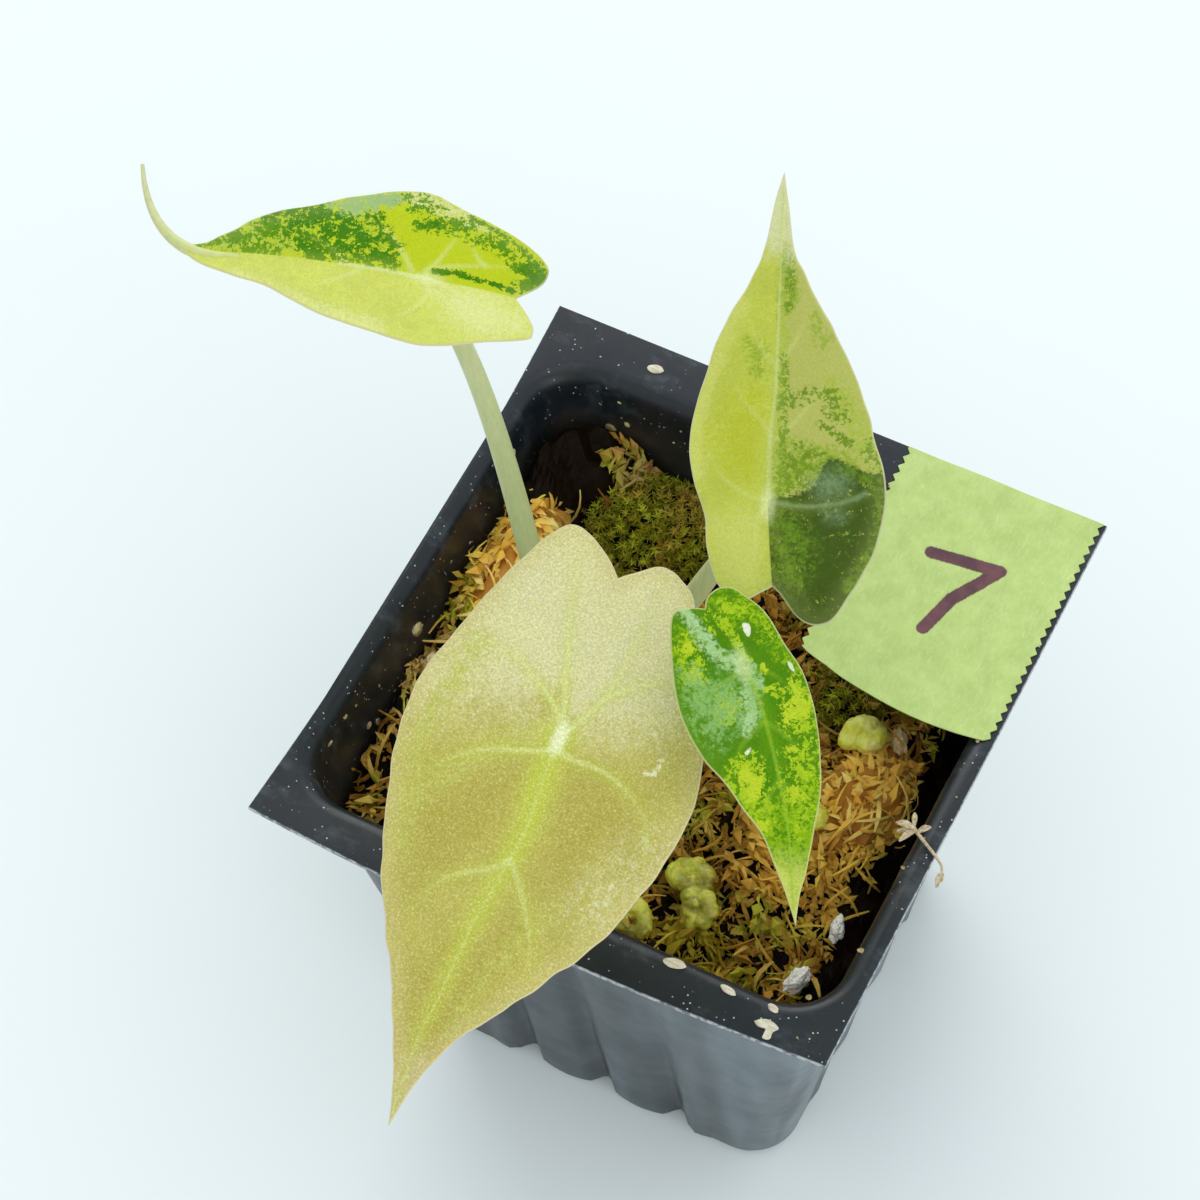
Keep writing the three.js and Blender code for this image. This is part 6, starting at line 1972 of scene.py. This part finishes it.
# %% The dry wisp
dry = Finish("dry_brown_wisp", 0.75)
fibre = dry.noise(dry.place(), 2.2, 5, 0.7)
dry.colour(dry.blend(dry.steps(fibre, 0.3, 0.7), (0.34, 0.25, 0.13), (0.72, 0.62, 0.44)))
dry.relief(fibre, 0.08, 0.8)


def leaflet(start, end, width, arch):
    start, end = np.array(start, float), np.array(end, float)
    along = end - start
    side = np.cross(along, (0, 0, 1.0))
    side /= np.linalg.norm(side)
    rows = []
    for t in np.linspace(0, 1, 12):
        half = width * math.sin(math.pi * (0.06 + 0.9 * t)) ** 0.8
        rows.append([start + along * t + side * half * k
                     + np.array([0, 0, arch * math.sin(math.pi * t) + 0.5 * half * k * k])
                     for k in (-1, -0.5, 0, 0.5, 1)])
    return slab(np.array(rows), 0.16)


def join_parts(name, parts):
    """One object from several (points, faces) shells."""
    points, faces, base = [], [], 0
    for part_points, part_faces in parts:
        points.append(part_points)
        faces += [tuple(i + base for i in f) for f in part_faces]
        base += len(part_points)
    return plain_object(name, np.vstack(points), faces)


z = POT_HEIGHT + 0.65
stem = tube("dry_wisp_stem", [(31.4, -7.8, z + 0.4), (32.3, -8.4, z + 0.3), (33.7, -9.1, z + 0.1),
                              (35.1, -9.9, z + 0.1), (36.2, -10.6, z - 0.1), (36.7, -11.5, z - 0.6)],
            0.24, 0.13, dry.material, 10, 30)
dress(stem, dry.material, "dry_scale", "dry_wisp")
leaflets = join_parts("dry_wisp_leaflets", [
    leaflet((31.9, -8.1, z + 0.4), (29.7, -8.4, z + 0.6), 0.40, 0.4),
    leaflet((31.7, -8.0, z + 0.4), (31.1, -6.5, z + 0.9), 0.26, 0.3),
    leaflet((32.0, -8.2, z + 0.4), (30.9, -10.2, z + 0.4), 0.34, 0.3),
    leaflet((32.0, -8.3, z + 0.4), (30.1, -9.2, z + 0.3), 0.28, 0.2),
    leaflet((32.2, -8.3, z + 0.3), (33.4, -7.3, z + 0.8), 0.34, 0.2),
    leaflet((36.6, -11.2, z - 0.4), (36.6, -12.8, z - 1.2), 0.38, 0.3)])
crease(leaflets.data, 50)
dress(leaflets, dry.material, "dry_scale", "dry_wisp")

# %% [markdown]
# Crumbs on the inner walls and the lip are tiny rough chips, joined into one piece. Each one is
# pressed a little into the plastic that it clings to.

# %% Crumbs on the inner walls
def wall_point(side, along, height):
    """A point on the inside of the left (-1, 0) or back (0, 1) wall."""
    t = height / POT_HEIGHT
    x = side[0] * (BASE_X + (MOUTH_X - BASE_X) * t - 0.4)
    y = side[1] * (BASE_Y + (MOUTH_Y - BASE_Y) * t - 0.4) + MOUTH_SHIFT * t
    return (x, y + along, height) if side[0] else (x + along, y, height)


def crumb(place, thin, size, chance):
    """A small rough chip, thin along one axis, clinging to whatever it lies against."""
    points, faces = ball(2)
    stretch = np.array([chance.uniform(0.6, 1.1) for _ in range(3)])
    stretch[thin] = 0.35
    points = points * stretch * size
    points *= 1 + 0.35 * np.array([[noise.noise((*(p * 3 + place[1]),))] for p in points])
    return points + place, outward(points + place, faces)


LIP_CRUMBS = [((33.1, -8.0), 0.5, 0.42), ((32.6, -23.1), 0.7, 0.5), ((33.4, 5.6), 0.3, 0.45),
              ((32.3, -12.0), 0.8, 0.3), ((29.8, -30.4), 1.0, 0.35), ((34.1, -2.0), 0.0, 0.14),
              ((34.5, -17.0), 0.0, 0.16), ((30.9, -35.6), 0.0, 0.13), ((32.2, -34.4), 0.0, 0.12)]
chance = random.Random(15)
LEFT, BACK = (-1, 0), (0, 1)
spots = [(LEFT, -5.1, 60.9, 1.35), (LEFT, -11.2, 55.3, 0.75), (LEFT, -20.3, 64.6, 0.5),
         (LEFT, -24.0, 64.4, 0.45), (LEFT, -17.5, 58.6, 0.6), (LEFT, -16.0, 57.2, 0.7), (LEFT, 19.5, 63.5,
                                                                                         0.7),
         (BACK, -24.5, 59.0, 0.9), (BACK, -22.4, 60.8, 0.6), (BACK, -3.0, 61.0, 0.5)]
spots += [(side, chance.uniform(-26, 8), chance.uniform(57, 65), chance.uniform(0.1, 0.28))
          for side in (LEFT,) * 13 + (BACK,) * 9]
places = [(wall_point(side, along, height), 0 if side[0] else 1, size, chance)
          for side, along, height, size in spots]
places += [((*at, POT_HEIGHT - drop), 2, size, chance) for at, drop, size in LIP_CRUMBS]
crumbs = join_parts("wall_crumbs", [crumb(*place) for place in places])
crease(crumbs.data, 60)
old_crumb = Finish("yellowed_crumb", 0.7)
aged = old_crumb.noise(old_crumb.place(), 0.9, 4)
old_crumb.colour(old_crumb.blend(old_crumb.steps(aged, 0.35, 0.65), (0.26, 0.19, 0.06),
                                 (0.66, 0.58, 0.30)))
dress(crumbs, old_crumb.material, "dry_scale")

# %% [markdown]
# ## Finishing
# The stocks of small shapes have done their work and are removed.

# %% Clear the stocks, measure and finish
for collection in (stock, leafstock, shoots):
    for item in list(collection.objects):
        bpy.data.objects.remove(item)
    bpy.data.collections.remove(collection)
look_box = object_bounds()
growth = [[round(1000 * (b - a), 2) for a, b in zip(c, d)] for c, d in zip(cad_box, look_box)]
print("look minus CAD, mm:", growth)
